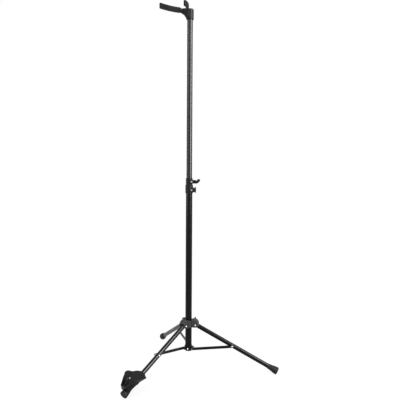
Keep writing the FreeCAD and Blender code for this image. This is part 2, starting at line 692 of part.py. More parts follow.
def leg_rivet(side, index):
    """The strut joint's pin through the leg, with a spacer on the strut's side."""
    frame = leg_frame(index) * shift("strut_joint", 0, 0)
    spacer = cylinder(f"joint_{side}_spacer", "boss_radius", "boss_face - leg_radius / 2",
                      frame * along_y(0, "-boss_face", 0))
    saddle = cylinder(f"joint_{side}_saddle", "leg_radius + seat_gap", "4 * boss_radius",
                      frame * along_x("-2 * boss_radius", 0, 0))
    pin = cylinder(f"joint_{side}_pin", "rivet_radius", "boss_face + leg_radius",
                   frame * along_y(0, "-boss_face", 0))
    head = domed_head(f"joint_{side}_head", "rivet_head_radius", "rivet_head_height",
                      frame * shift(0, "leg_radius", 0) * turn(X_AXIS, -QUARTER))
    solid = cut(f"joint_{side}_seat", spacer, saddle)
    node(fuse(f"joint_{side}_fuse", [solid, pin, head]), f"leg_rivet_{side}")


def floor_block(name):
    """What lies under the floor, for flats that rest on it."""
    return box(name, ("-2 * leg_length", "-2 * leg_length", "-leg_length"),
               ("2 * leg_length", "2 * leg_length", "0"))


def foot(side, index):
    """A flared rubber boot on the end of a leg, flat where it rests on the floor. The front
    one is open on top where the cup lies over it."""
    boot = body(f"foot_{side}_body")
    profile = outline(boot, f"foot_{side}_profile", "XZ_Plane", [
        ("leg_length - foot_length", "leg_radius + seat_gap"),
        ("leg_length - foot_length", "foot_neck_radius"),
        ("leg_length - foot_end_band", "foot_radius - foot_rounding / 4"),
        ("leg_length", "foot_radius", "foot_rounding"),
        ("leg_length", "0"),
        ("leg_length - foot_floor", "0"),
        ("leg_length - foot_floor", "leg_radius + seat_gap")])
    revolve(boot, f"foot_{side}_turned", profile, "H_Axis")
    boot.Placement = leg_frame(index)
    if side == "front":
        room = box("foot_front_room", ("leg_length - foot_length - cut_overrun",
                                       "-2 * foot_radius", "front_foot_rise"),
                   ("cup_toe + side_gap", "2 * foot_radius", "2 * foot_radius"), leg_frame(index))
        boot = cut("foot_front_open", boot, room)
    node(cut(f"foot_{side}_cut", boot, floor_block(f"foot_{side}_floor")), f"foot_{side}")


def strut(side, index):
    """A flat bar with round eyes: the lower one turns on the bottom hub's rivet."""
    frame = strut_frame(index)
    inner, outer = "-strut_outer_side", "-strut_inner_side"
    bar = box(f"strut_{side}_bar", ("0", inner, "-strut_width / 2"),
              ("strut_length", outer, "strut_width / 2"), frame)
    low = cylinder(f"strut_{side}_low", "ear_radius", "strut_thickness", frame * along_y(0, inner, 0))
    high = cylinder(f"strut_{side}_high", "ear_radius", "strut_thickness",
                    frame * along_y("strut_length", inner, 0))
    low_hole = cylinder(f"strut_{side}_low_hole", "rivet_hole_radius", "strut_thickness + 2 * cut_overrun",
                        frame * along_y(0, f"{inner} - cut_overrun", 0))
    high_hole = cylinder(f"strut_{side}_high_hole", "rivet_hole_radius",
                         "strut_thickness + 2 * cut_overrun",
                         frame * along_y("strut_length", f"{inner} - cut_overrun", 0))
    solid = fuse(f"strut_{side}_fuse", [bar, low, high])
    holes = fuse(f"strut_{side}_holes", [low_hole, high_hole])
    node(cut(f"strut_{side}_cut", solid, holes), f"strut_{side}")


def strut_rivet(side, index):
    """The head and shank of the strut joint that stay with the strut."""
    frame = strut_frame(index) * shift("strut_length", 0, 0)
    shank = cylinder(f"eye_{side}_shank", "rivet_radius", "strut_thickness",
                     frame * along_y(0, "-strut_outer_side", 0))
    head = domed_head(f"eye_{side}_head", "rivet_head_radius", "rivet_head_height",
                      frame * shift(0, "-strut_outer_side", 0) * turn(X_AXIS, QUARTER))
    node(fuse(f"eye_{side}_fuse", [shank, head]), f"strut_rivet_{side}")


# Endpin cup on the front leg

def cup_plan(owner, name, level, lift, inset="0", stretch="1"):
    """The cup's outline, flared towards its back corners, at the wall's foot or highest rim.
    It can be drawn in by a wall and stretched backwards from its waist."""
    waist = f"leg_length - waist_{level}_setback"
    waist_side = f"waist_{level}_side"
    corner = f"{waist} + ({stretch}) * (waist_{level}_setback - corner_{level}_setback)"
    corner_side = f"{waist_side} + ({stretch}) * (corner_{level}_side - {waist_side})"
    toe, toe_side = f"cup_toe - ({inset})", f"toe_{level}_side - ({inset})"
    back = f"cup_back - (({stretch}) - 1) * (cup_back_setback - waist_{level}_setback)"
    return outline(owner, name, "XY_Plane", [
        (back, "0", f"({corner_side}) * {BACK_ROUND}"),
        (corner, f"({inset}) - ({corner_side})", "cup_corner_radius"),
        (waist, f"({inset}) - ({waist_side})", "waist_radius"),
        (toe, f"-({toe_side})", "toe_corner_radius"),
        (toe, toe_side, "toe_corner_radius"),
        (waist, f"{waist_side} - ({inset})", "waist_radius"),
        (corner, f"{corner_side} - ({inset})", "cup_corner_radius")], lift)


def cup_loft(name, low_lift, high_lift, **shape):
    """A block between the cup's outlines at two levels above the leg's axis."""
    block = body(name)
    low = cup_plan(block, f"{name}_low", "low", low_lift, **shape)
    high = cup_plan(block, f"{name}_high", "high", high_lift, **shape)
    loft = block.newObject("PartDesign::AdditiveLoft", f"{name}_loft")
    loft.Profile = low
    loft.Sections = [high]
    block.Placement = leg_frame(0)
    return block


def endpin_cup():
    """A scoop over the leg whose walls flare towards its back corners and rise round its
    narrow end, where the endpin comes to rest."""
    frame = leg_frame(0)
    tray = cup_loft("tray", "tray_underside", "rim_high + cut_overrun")
    bed = cup_loft("bed", "tray_top", "rim_high + 2 * cut_overrun", inset="tray_wall", stretch="2")
    rim = body("rim_body")
    above = outline(rim, "rim_side", "XZ_Plane", [
        ("cup_back - cut_overrun", "rim_corner"),
        ("leg_length - rim_corner_setback", "rim_corner"),
        ("leg_length - rim_peak_setback", "rim_high"),
        ("cup_toe + cut_overrun", "rim_toe"),
        ("cup_toe + cut_overrun", "2 * rim_high"),
        ("cup_back - cut_overrun", "2 * rim_high")])
    pad(rim, "rim_block", above, "4 * corner_high_side", midplane=True)
    rim.Placement = frame
    pins = [cylinder(f"cup_pin_hole_{i}", "rivet_hole_radius", "2 * rim_high",
                     frame * shift("cup_rivet_place", f"{way} * cup_rivet_side", 0))
            for i, way in enumerate((-1, 1))]
    trimmed = cut("cup_trimmed", cut("cup_scooped", tray, bed), rim)
    node(cut("cup_cut", trimmed, fuse("cup_pins", pins)), "endpin_cup")


def cup_saddle():
    """A steel strap under the leg whose wings are riveted to the tray."""
    frame = leg_frame(0)
    start = "cup_rivet_place - saddle_length / 2"
    end = "cup_rivet_place + saddle_length / 2"
    bend = "leg_radius + seat_gap + saddle_thickness"
    top = "tray_underside - seat_gap"
    round_part = cylinder("saddle_round", bend, "saddle_length", frame * along_x(start, 0, 0))
    sides = box("saddle_sides", (start, f"-({bend})", "0"), (end, bend, top), frame)
    plate = box("saddle_plate", (start, "-saddle_half_width", f"{top} - saddle_thickness"),
                (end, "saddle_half_width", top), frame)
    lid = box("saddle_lid", (f"{start} - cut_overrun", f"-({bend})", top),
              (f"{end} + cut_overrun", bend, "2 * leg_radius"), frame)
    bore = cylinder("saddle_bore", "leg_radius + seat_gap", "saddle_length + 2 * cut_overrun",
                    frame * along_x(f"{start} - cut_overrun", 0, 0))
    room = box("saddle_room", (f"{start} - cut_overrun", "-leg_radius - seat_gap", "0"),
               (f"{end} + cut_overrun", "leg_radius + seat_gap", "2 * leg_radius"), frame)
    pins = [cylinder(f"saddle_hole_{i}", "rivet_hole_radius", "2 * leg_radius",
                     frame * shift("cup_rivet_place", f"{way} * cup_rivet_side", 0))
            for i, way in enumerate((-1, 1))]
    solid = fuse("saddle_fuse", [round_part, sides, plate])
    node(cut("saddle_cut", solid, fuse("saddle_tools", [lid, bore, room] + pins)), "cup_saddle")


def cup_rivets():
    low = "tray_underside - seat_gap - saddle_thickness"
    rivets = [rivet(f"cup_rivet_{i}", low, "tray_top",
                    leg_frame(0) * shift("cup_rivet_place", f"{way} * cup_rivet_side", 0)
                    * turn(X_AXIS, QUARTER))
              for i, way in enumerate((-1, 1))]
    node(group("cup_rivet_group", rivets), "cup_rivets")


# Clamp collar with its lever and wing nut

def clamp_collar():
    """A split sleeve over both tubes with a pair of ears for each bolt."""
    sleeve = body("collar_body")
    profile = outline(sleeve, "collar_profile", "XZ_Plane", [
        ("lower_tube_radius + seat_gap", "collar_bottom"),
        ("collar_lower_radius - collar_bevel", "collar_bottom"),
        ("collar_lower_radius", "collar_bottom + collar_bevel"),
        ("collar_lower_radius", "lower_tube_top"),
        ("collar_upper_radius", "lower_tube_top + collar_bevel"),
        ("collar_upper_radius", "collar_top - collar_bevel / 2"),
        ("collar_upper_radius - collar_bevel / 2", "collar_top"),
        ("upper_tube_radius + running_gap", "collar_top"),
        ("upper_tube_radius + running_gap", "lower_tube_top + side_gap"),
        ("lower_tube_radius + seat_gap", "lower_tube_top + side_gap")])
    revolve(sleeve, "collar_turned", profile, "V_Axis")
    pieces = [sleeve]
    tools = []
    ring_middle = "upper_tube_radius + collar_bevel"
    for name in ("upper", "lower"):
        height = f"{name}_ear_height"
        frame = clamp_frame(f"{name}_bolt_height")
        ears = body(f"{name}_ears")
        side = outline(ears, f"{name}_ear_side", "XZ_Plane", [
            (ring_middle, f"-{height} / 2"),
            ("clamp_ear_reach", f"-{height} / 2", f"{height} / 3"),
            ("clamp_ear_reach", f"{height} / 2", f"{height} / 3"),
            (ring_middle, f"{height} / 2")])
        pad(ears, f"{name}_ear_pair", side, "2 * ear_face", midplane=True)
        ears.Placement = frame
        pieces.append(ears)
        tools.append(cylinder(f"{name}_bolt_hole", "rivet_hole_radius", "4 * ear_face",
                              frame * along_y("clamp_bolt_reach", "-2 * ear_face", 0)))
    tools.append(box("collar_slot", ("0", "-slot_width / 2", "collar_bottom - cut_overrun"),
                     ("2 * clamp_ear_reach", "slot_width / 2", "collar_top + cut_overrun"),
                     turn(Z_AXIS, "clamp_azimuth")))
    tools.append(cylinder("collar_upper_room", "upper_tube_radius + running_gap",
                          "collar_upper_length + cut_overrun", shift(0, 0, "lower_tube_top + side_gap")))
    tools.append(cylinder("collar_lower_room", "lower_tube_radius + seat_gap",
                          "collar_lower_length + cut_overrun + side_gap",
                          shift(0, 0, "collar_bottom - cut_overrun")))
    node(cut("collar_cut", fuse("collar_fuse", pieces), fuse("collar_tools", tools)), "clamp_collar")


def clamp_bolt(name, height, length):
    """A bolt through a pair of ears, its domed head on the side away from the handle."""
    frame = clamp_frame(height) * shift("clamp_bolt_reach", 0, 0)
    shank = cylinder(f"{name}_shank", "rivet_radius", f"({length}) + ear_face",
                     frame * along_y(0, "-ear_face", 0))
    head = domed_head(f"{name}_head", "bolt_head_radius", "bolt_head_height",
                      frame * shift(0, "-ear_face", 0) * turn(X_AXIS, QUARTER))
    node(fuse(f"{name}_fuse", [shank, head]), name)


def clamp_lever():
    """A cam lever on the upper bolt: a boss and an arm that bends up towards its tip."""
    frame = clamp_frame("upper_bolt_height") * shift("clamp_bolt_reach", 0, 0)
    boss = cylinder("lever_boss", "lever_grip_radius", "lever_width",
                    frame * along_y(0, "grip_start", 0))
    middle = "lever_bend_radius - lever_low_drop"
    sweep = "lever_root_angle + lever_tip_angle"
    centre = frame * shift("lever_low_reach", "grip_start", middle)
    rim = cylinder("lever_outer", "lever_bend_radius + lever_thickness / 2", "lever_width",
                   centre * turn(Y_AXIS, QUARTER) * turn(Y_AXIS, "-lever_tip_angle")
                   * turn(X_AXIS, -QUARTER))
    bind(rim, Angle=sweep)
    hollow = cylinder("lever_inner", "lever_bend_radius - lever_thickness / 2",
                      "lever_width + 2 * cut_overrun", centre * along_y(0, "-cut_overrun", 0))
    tip = cylinder("lever_tip", "lever_thickness / 2", "lever_width",
                   centre * along_y("lever_bend_radius * sin(lever_tip_angle)", 0,
                                    "-lever_bend_radius * cos(lever_tip_angle)"))
    bore = cylinder("lever_bore", "rivet_hole_radius", "lever_width + 2 * cut_overrun",
                    frame * along_y(0, "grip_start - cut_overrun", 0))
    arm = cut("lever_arm", rim, hollow)
    node(cut("lever_cut", fuse("lever_fuse", [boss, arm, tip]), bore), "clamp_lever")


def lever_end_cap():
    """The small nut that keeps the lever on its bolt."""
    frame = clamp_frame("upper_bolt_height") * shift("clamp_bolt_reach", 0, 0)
    cap = domed_head("lever_cap_dome", "bolt_head_radius", "bolt_head_height",
                     frame * shift(0, "grip_start + lever_width + side_gap", 0) * turn(X_AXIS, -QUARTER))
    node(cap, "lever_end_nut")


def clamp_wing_nut():
    frame = clamp_frame("lower_bolt_height") * shift("clamp_bolt_reach", 0, 0)
    grip = cylinder("nut_grip", "wing_grip_radius", "nut_base + wing_depth * 2 / 3",
                    frame * along_y(0, "grip_start", 0))
    bore = cylinder("nut_bore", "rivet_hole_radius", "nut_base",
                    frame * along_y(0, "grip_start", 0))
    plate = wings("nut_wings", "grip_start + wing_rounding / 2", "nut_wing_start", frame)
    solid = fuse("nut_fuse", [grip, plate])
    node(cut("nut_cut", solid, bore), "clamp_wing_nut")


# Upper tube and neck fork

def mast_glide():
    """The plastic glide under the upper tube that centres it in the lower one."""
    skirt = cylinder("glide_skirt", "lower_bore_radius - running_gap", "lower_bore_radius",
                     shift(0, 0, "upper_tube_bottom - side_gap - lower_bore_radius"))
    spigot = cylinder("glide_spigot", "upper_bore_radius - running_gap", "2 * lower_bore_radius",
                      shift(0, 0, "upper_tube_bottom - side_gap - lower_bore_radius / 2"))
    node(fuse("glide_fuse", [skirt, spigot]), "mast_glide")


def upper_tube():
    outside = cylinder("upper_tube_outside", "upper_tube_radius", "upper_tube_length",
                       shift(0, 0, "upper_tube_bottom"))
    bore = cylinder("upper_tube_bore", "upper_bore_radius", "upper_tube_length + 2 * cut_overrun",
                    shift(0, 0, "upper_tube_bottom - cut_overrun"))
    node(cut("upper_tube_cut", outside, bore), "upper_tube")


def fork_frame():
    """X ahead through the fork's opening, Y to its left, Z up from the fork's middle."""
    return turn(Z_AXIS, "fork_azimuth") * shift(0, 0, "fork_middle")


def fork_hub():
    sleeve = body("fork_hub_body")
    profile = outline(sleeve, "fork_hub_profile", "XZ_Plane", [
        ("upper_tube_radius + seat_gap", "fork_hub_bottom"),
        ("fork_hub_radius - fork_hub_bevel", "fork_hub_bottom"),
        ("fork_hub_radius", "fork_hub_bottom + fork_hub_bevel"),
        ("fork_hub_radius", "upper_tube_top - fork_hub_bevel"),
        ("fork_hub_radius - fork_hub_bevel", "upper_tube_top"),
        ("upper_tube_radius + seat_gap", "upper_tube_top")])
    revolve(sleeve, "fork_hub_turned", profile, "V_Axis")
    screw_hole = cylinder("fork_screw_hole", "thread_radius + seat_gap", "fork_hub_radius",
                          fork_screw_place())
    node(cut("fork_hub_cut", sleeve, screw_hole), "fork_hub")


def fork_screw_place():
    """On the side away from the fork, with its axis pointing outwards."""
    return turn(Z_AXIS, f"fork_azimuth + {HALF_TURN}") \
        * along_x("upper_tube_radius + seat_gap", 0, "fork_hub_bottom + fork_hub_radius")


def fork_screw():
    shank = cylinder("fork_screw_shank", "thread_radius", "fork_hub_radius - upper_tube_radius",
                     fork_screw_place())
    head = domed_head("fork_screw_head", "bolt_head_radius", "bolt_head_height",
                      fork_screw_place() * shift(0, 0, "fork_hub_radius - upper_tube_radius"))
    node(fuse("fork_screw_fuse", [shank, head]), "fork_screw")


def mast_cap():
    disc = body("mast_cap_body")
    profile = outline(disc, "mast_cap_profile", "XZ_Plane", [
        ("0", "upper_tube_top - cap_depth"),
        ("upper_bore_radius - seat_gap", "upper_tube_top - cap_depth"),
        ("upper_bore_radius - seat_gap", "upper_tube_top + seat_gap"),
        ("cap_radius", "upper_tube_top + seat_gap"),
        ("cap_radius", "upper_tube_top + cap_height / 2"),
        (f"cap_radius * {CAP_CROWN}", "fork_hub_top"),
        ("0", "fork_hub_top")])
    revolve(disc, "mast_cap_turned", profile, "V_Axis")
    node(disc, "mast_cap")


def arm_ring(name, way, inner, outer, height, start, sweep):
    """A curved bar of a fork arm: a sector of a ring round the arm's bend centre."""
    centre = fork_frame() * shift("arm_centre_ahead", f"{way} * arm_centre_side", f"-({height}) / 2")
    turned = f"{QUARTER} + arm_root_angle - ({start}) - ({sweep})"
    first = turned if way > 0 else f"-({QUARTER} + arm_root_angle - ({start}))"
    rim = cylinder(f"{name}_outer", outer, height, centre * turn(Z_AXIS, first))
    bind(rim, Angle=sweep)
    hollow = cylinder(f"{name}_inner", inner, f"({height}) + 2 * cut_overrun",
                      centre * shift(0, 0, "-cut_overrun"))
    return cut(f"{name}_ring", rim, hollow)


def arm_point(way, radius, angle, height):
    """A place on a fork arm, on a radius round its bend centre, at a turn from its root."""
    centre = fork_frame() * shift("arm_centre_ahead", f"{way} * arm_centre_side", f"-({height}) / 2")
    return centre * shift(f"-({radius}) * sin(arm_root_angle - ({angle}))",
                          f"{way} * ({radius}) * cos(arm_root_angle - ({angle}))", 0)


def fork_bracket():
    """The stem, deep at the fork hub, and the two flat bars that it carries, welded together."""
    inner = "sleeve_middle_radius - arm_thickness / 2"
    outer = "sleeve_middle_radius + arm_thickness / 2"
    bars = [arm_ring(f"arm_{side}_bar", way, inner, outer, "arm_height", "0", "arm_sweep")
            for side, way in (("left", 1), ("right", -1))]
    frame = fork_frame()
    stem = body("stem_body")
    foot_level = "fork_hub_bottom + fork_hub_bevel - fork_middle"
    plan = outline(stem, "stem_plan", "XY_Plane", [
        ("upper_tube_radius + tube_wall", "-stem_width / 2"),
        ("stem_reach - stem_width", "-stem_width / 2"),
        ("stem_reach", "-stem_spread / 2"),
        ("stem_reach", "stem_spread / 2"),
        ("stem_reach - stem_width", "stem_width / 2"),
        ("upper_tube_radius + tube_wall", "stem_width / 2")], foot_level)
    pad(stem, "stem_block", plan, f"arm_height / 2 - ({foot_level})")
    stem.Placement = frame
    under = body("stem_under_body")
    side = outline(under, "stem_under_side", "XZ_Plane", [
        ("fork_hub_radius + tube_wall", foot_level),
        ("stem_reach", "-arm_height / 2"),
        ("stem_reach + cut_overrun", "-arm_height / 2"),
        ("stem_reach + cut_overrun", f"{foot_level} - cut_overrun"),
        ("fork_hub_radius + tube_wall", f"{foot_level} - cut_overrun")])
    pad(under, "stem_under_block", side, "2 * stem_spread", midplane=True)
    under.Placement = frame
    room = cylinder("stem_room", "fork_hub_radius + seat_gap", "2 * fork_hub_length",
                    shift(0, 0, "fork_hub_bottom - cut_overrun"))
    carrier = cut("stem_cut", stem, fuse("stem_tools", [under, room]))
    node(fuse("bracket_fuse", bars + [carrier]), "fork_bracket")


def fork_sleeve(side, way):
    """A rubber sleeve on a fork arm with a round tip, hollow for the flat bar."""
    sweep = "arm_sweep - sleeve_root_sweep"
    skin = arm_ring(f"sleeve_{side}_skin", way, "arm_bend_radius",
                    "arm_bend_radius + sleeve_thickness", "sleeve_height", "sleeve_root_sweep", sweep)
    tip = cylinder(f"sleeve_{side}_tip", "sleeve_thickness / 2", "sleeve_height",
                   arm_point(way, "sleeve_middle_radius", "arm_sweep", "sleeve_height"))
    core = arm_ring(f"sleeve_{side}_core", way,
                    "sleeve_middle_radius - arm_thickness / 2 - seat_gap",
                    "sleeve_middle_radius + arm_thickness / 2 + seat_gap",
                    "arm_height + 2 * seat_gap", "0", "arm_sweep + seat_gap")
    whole = fuse(f"sleeve_{side}_fuse", [skin, tip])
    DOC.recompute()
    rounded = DOC.addObject("Part::Fillet", f"sleeve_{side}_rounded")
    rounded.Base = whole
    rounding = number("sleeve_rounding")
    top, bottom = whole.Shape.BoundBox.ZMax, whole.Shape.BoundBox.ZMin
    level = number("seat_gap")
    edges = []
    for i, edge in enumerate(whole.Shape.Edges, start=1):
        low, high = edge.BoundBox.ZMin, edge.BoundBox.ZMax
        on_rim = abs(low - top) < level or abs(high - bottom) < level
        if on_rim and high - low < level and not isinstance(edge.Curve, Part.Line):
            edges.append((i, rounding, rounding))
    rounded.Edges = edges
    node(cut(f"sleeve_{side}_cut", rounded, core), f"fork_sleeve_{side}")


def build_all():
    fill_sheet()
    lower_tube()
    bottom_hub()
    tube_end_plug()
    base_screw()
    strut_pivot_rivets()
    leg_hub()
    hub_bush()
    hub_insert()
    hub_wing_screw()
    leg_pivot_rivets()
    for index, side in enumerate(("front", "right", "left")):
        leg_tube(side, index)
        leg_end(side, index)
        leg_rivet(side, index)
        strut(side, index)
        strut_rivet(side, index)
        foot(side, index)
    endpin_cup()
    cup_saddle()
    cup_rivets()
    clamp_collar()
    clamp_bolt("upper_clamp_bolt", "upper_bolt_height", "grip_start + lever_width + side_gap")
    clamp_bolt("lower_clamp_bolt", "lower_bolt_height", "grip_start + nut_base")
    clamp_lever()
    lever_end_cap()
    clamp_wing_nut()
    mast_glide()
    upper_tube()
    fork_hub()
    fork_screw()
    mast_cap()
    fork_bracket()
    fork_sleeve("left", 1)
    fork_sleeve("right", -1)


def check_all():
    """Stops at any object that failed and any sub-part whose shape is not sound."""
    DOC.recompute()
    for thing in DOC.Objects:
        if "Invalid" in thing.State or "Error" in thing.State:
            raise RuntimeError(f"{thing.Name} failed: {thing.State}")
    for thing in NODES:
        if thing.Shape.isNull() or not thing.Shape.isValid() or not thing.Shape.Solids:
            raise RuntimeError(f"{thing.Label} has no sound shape")


def write_all():
    os.makedirs("parts", exist_ok=True)
    for thing in NODES:
        thing.Shape.exportStep(f"parts/{thing.Label}.step")
        solids = len(thing.Shape.Solids)
        print(f"{thing.Label}: {solids} solid(s), {thing.Shape.Volume:.0f} mm3")


build_all()
check_all()
write_all()
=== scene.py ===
"""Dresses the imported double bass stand: moulded pieces, finishes, stage and camera."""

import json
import math

import bpy
import numpy as np
from mathutils import Matrix, Vector


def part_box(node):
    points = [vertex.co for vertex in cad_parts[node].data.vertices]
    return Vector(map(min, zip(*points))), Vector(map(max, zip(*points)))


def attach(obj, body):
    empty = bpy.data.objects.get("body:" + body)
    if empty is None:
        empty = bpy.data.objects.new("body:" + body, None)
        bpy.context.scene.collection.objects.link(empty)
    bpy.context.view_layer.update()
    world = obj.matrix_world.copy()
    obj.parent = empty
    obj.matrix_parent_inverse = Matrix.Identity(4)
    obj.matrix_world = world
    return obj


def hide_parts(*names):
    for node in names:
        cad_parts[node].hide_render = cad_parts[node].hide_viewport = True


bl_info = {
    "name": "Double Bass Stand",
    "version": (1, 0, 0),
    "blender": (4, 5, 0),
    "location": "View3D > Sidebar > Bass Stand",
    "description": "Moulded pieces, finishes, stage and camera of a folding double bass stand",
    "category": "Object",
}

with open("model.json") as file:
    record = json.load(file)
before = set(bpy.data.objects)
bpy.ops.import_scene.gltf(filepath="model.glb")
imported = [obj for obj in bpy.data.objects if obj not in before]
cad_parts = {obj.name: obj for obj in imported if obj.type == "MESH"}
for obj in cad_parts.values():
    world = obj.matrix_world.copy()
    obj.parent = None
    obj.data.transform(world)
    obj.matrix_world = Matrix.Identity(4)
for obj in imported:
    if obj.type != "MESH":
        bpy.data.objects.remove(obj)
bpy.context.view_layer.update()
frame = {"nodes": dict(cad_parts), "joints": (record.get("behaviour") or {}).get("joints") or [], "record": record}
NODES = frame["nodes"]
JOINTS = {joint["name"]: joint for joint in frame["joints"]}
SIDES = ("front", "right", "left")
MM = 0.001


# Sizes and colours that a user would change

def length(label, words, default):
    """A length in metres, given in millimetres."""
    return bpy.props.FloatProperty(
        name=label, description=words, default=default * MM, unit="LENGTH", precision=4)


def angle(label, words, default):
    """An angle, given in degrees."""
    return bpy.props.FloatProperty(
        name=label, description=words, default=math.radians(default), unit="ROTATION")


def colour(label, words, default):
    return bpy.props.FloatVectorProperty(
        name=label, description=words, default=default, subtype="COLOR", size=3, min=0, max=1)


def factor(label, words, default):
    return bpy.props.FloatProperty(
        name=label, description=words, default=default, subtype="FACTOR", min=0, max=1)


def place(label, words, along, across):
    """Two lengths, such as a place along and beside a leg, given in millimetres."""
    return bpy.props.FloatVectorProperty(
        name=label, description=words, default=(along * MM, across * MM), size=2, unit="LENGTH",
        precision=4)


class StandShapes(bpy.types.PropertyGroup):
    """Shapes of the moulded pieces that lie over the fixed frame."""
    leg_slope: angle("Leg slope", "Slope of the legs below the level", 27)
    leg_radius: length("Leg radius", "Outside of the leg tubes", 10)
    cup_back: place("Cup back", "Back edge of the cup's floor before its rounding", 283, 0)
    corner_low: place("Low corner", "Back corner at the wall's foot", 317, 46)
    corner_high: place("High corner", "Back corner of the high outline", 336, 83)
    waist_low: place("Low waist", "Waist of the outline at the wall's foot", 343, 33.5)
    waist_high: place("High waist", "Waist of the high outline", 352, 44)
    toe_low: place("Low toe", "Corner of the end wall at its foot", 403, 24)
    toe_high: place("High toe", "Corner of the end wall on the high outline", 403, 12)
    cup_wall: length("Cup wall", "Thickness of the cup's wall", 3.5)
    cup_underside: length("Cup underside", "Underside of the cup above the leg's axis", 10.3)
    cup_floor: length("Cup floor", "Thickness of the cup's floor", 3.5)
    cup_height: length("Cup height", "Level of the high outline above the leg's axis", 40)
    rim_start: place("Rim start", "Where the rim starts to rise, and its height", 323, 23)
    rim_peak: place("Rim peak", "Highest rim, and its height", 358, 37.85)
    rim_end: place("Rim end", "Rim of the end wall, and its height", 403, 36)
    foot_end: length("Foot end", "End of the rubber feet along the leg", 418.85)
    foot_length: length("Foot length", "Rubber feet along the leg", 46.85)
    foot_radius: length("Foot radius", "Rubber feet at their end", 16.3)
    foot_neck: length("Foot neck", "Rubber feet at their mouth", 11.6)
    fork_azimuth: angle("Fork direction", "Direction in which the fork opens", -75.6)
    sleeve_thickness: length("Sleeve thickness", "Rubber sleeve across a fork arm", 10.4)
    sleeve_height: length("Sleeve height", "Rubber sleeve on a fork arm", 24)
    sleeve_rounding: length("Sleeve rounding", "Rounded long edges of the sleeves", 2)
    arm_root: place("Arm root", "Start of an arm's inner face ahead and aside", 48.1, -4.6)
    arm_bend: length("Arm bend", "Radius of a fork arm's inner face", 220.6)
    arm_root_angle: angle("Arm root angle", "Fork arm against the fork's middle at its root", 43.1)
    sleeve_start: angle("Sleeve start", "Turn of the bare arm before its sleeve", 7)
    sleeve_sweep: angle("Sleeve sweep", "Turn of a sleeve from start to tip", 29.25)
    lever_boss: length("Lever boss", "Boss of the clamp lever round its bolt", 7.6)
    lever_bend: length("Lever bend", "Bend of the clamp lever's arm", 21.5)
    lever_low: place("Lever low point", "Lowest point of the arm's middle from the bolt", 6.5, -2.2)
    lever_root: angle("Lever root", "Arm behind its lowest point", 18.6)
    lever_tip: angle("Lever tip", "Arm beyond its lowest point", 55.2)
    lever_thickness: length("Lever thickness", "Clamp lever's arm", 13)
    lever_width: length("Lever width", "Clamp lever along its bolt", 8)
    wing_grip: length("Wing grip", "Barrel of the wing nut and the wing screw", 5.2)
    wing_span: length("Wing span", "Wings from the screw's axis", 13)
    wing_depth: length("Wing depth", "Wings along the screw's axis", 5.5)
    wing_thickness: length("Wing thickness", "Thickness of the wings", 5)
    nut_wings: place(
        "Nut wings", "Root and inner tips of the nut's wings from the column's axis", 9.75, 16.28)
    screw_wings: place(
        "Screw wings", "Root and inner tips of the screw's wings from the column's axis",
        44.35, 46.18)


class StandFinishes(bpy.types.PropertyGroup):
    """Colours and sheen of the stand."""
    paint: colour(
        "Paint", "Black of the lower tube, legs, struts and fork, and of the clamp collar",
        (0.003, 0.003, 0.0035))
    paint_roughness: factor("Paint roughness", "Sheen of the powder coat", 0.24)
    mast: colour(
        "Mast paint", "Smoother grey-black paint of the upper tube", (0.014, 0.014, 0.015))
    mast_roughness: factor("Mast roughness", "Sheen of the upper tube", 0.3)
    hub: colour("Hub plastic", "Grey plastic of the leg hub", (0.028, 0.029, 0.03))
    cup: colour(
        "Cup plastic", "Black plastic of the endpin cup and handles", (0.004, 0.004, 0.0045))
    rubber: colour("Rubber", "Feet and fork sleeves", (0.01, 0.01, 0.0105))
    steel: colour("Plated steel", "Rivets and bolts", (0.3, 0.3, 0.31))


class StageSettings(bpy.types.PropertyGroup):
    """Camera and light around the stand."""
    camera_distance: length("Camera distance", "Camera from the column's axis", 2521.5)
    camera_height: length("Camera height", "Camera above the floor", 1023.2)
    camera_side: angle("Camera side", "Direction of the camera round the column", -49.69)
    camera_yaw: angle("Camera yaw", "Camera turned aside from the column", -1.109)
    camera_pitch: angle("Camera pitch", "Camera turned down", 0.999)
    camera_roll: angle("Camera roll", "Tilt of the picture", 0.303)
    lens: bpy.props.FloatProperty(
        name="Lens", description="Focal length on a 36 mm film", default=49.43, unit="CAMERA")
    shift_up: bpy.props.FloatProperty(
        name="Shift up", default=-0.11,
        description="View moved up, in picture widths; below zero the stand stands higher in it")
    floor: colour("Floor", "Pale studio floor", (0.8, 0.8, 0.8))


def shapes():
    return bpy.context.scene.stand_shapes


def finishes():
    return bpy.context.scene.stand_finishes


# Meshes from rings of points

def smooth_step(low, high, x):
    """Zero below low, one above high, and the soft S of 3 t^2 - 2 t^3 between them."""
    t = np.clip((x - low) / (high - low), 0, 1)
    return t * t * (3 - 2 * t)


def unit(vector):
    return vector / np.linalg.norm(vector)


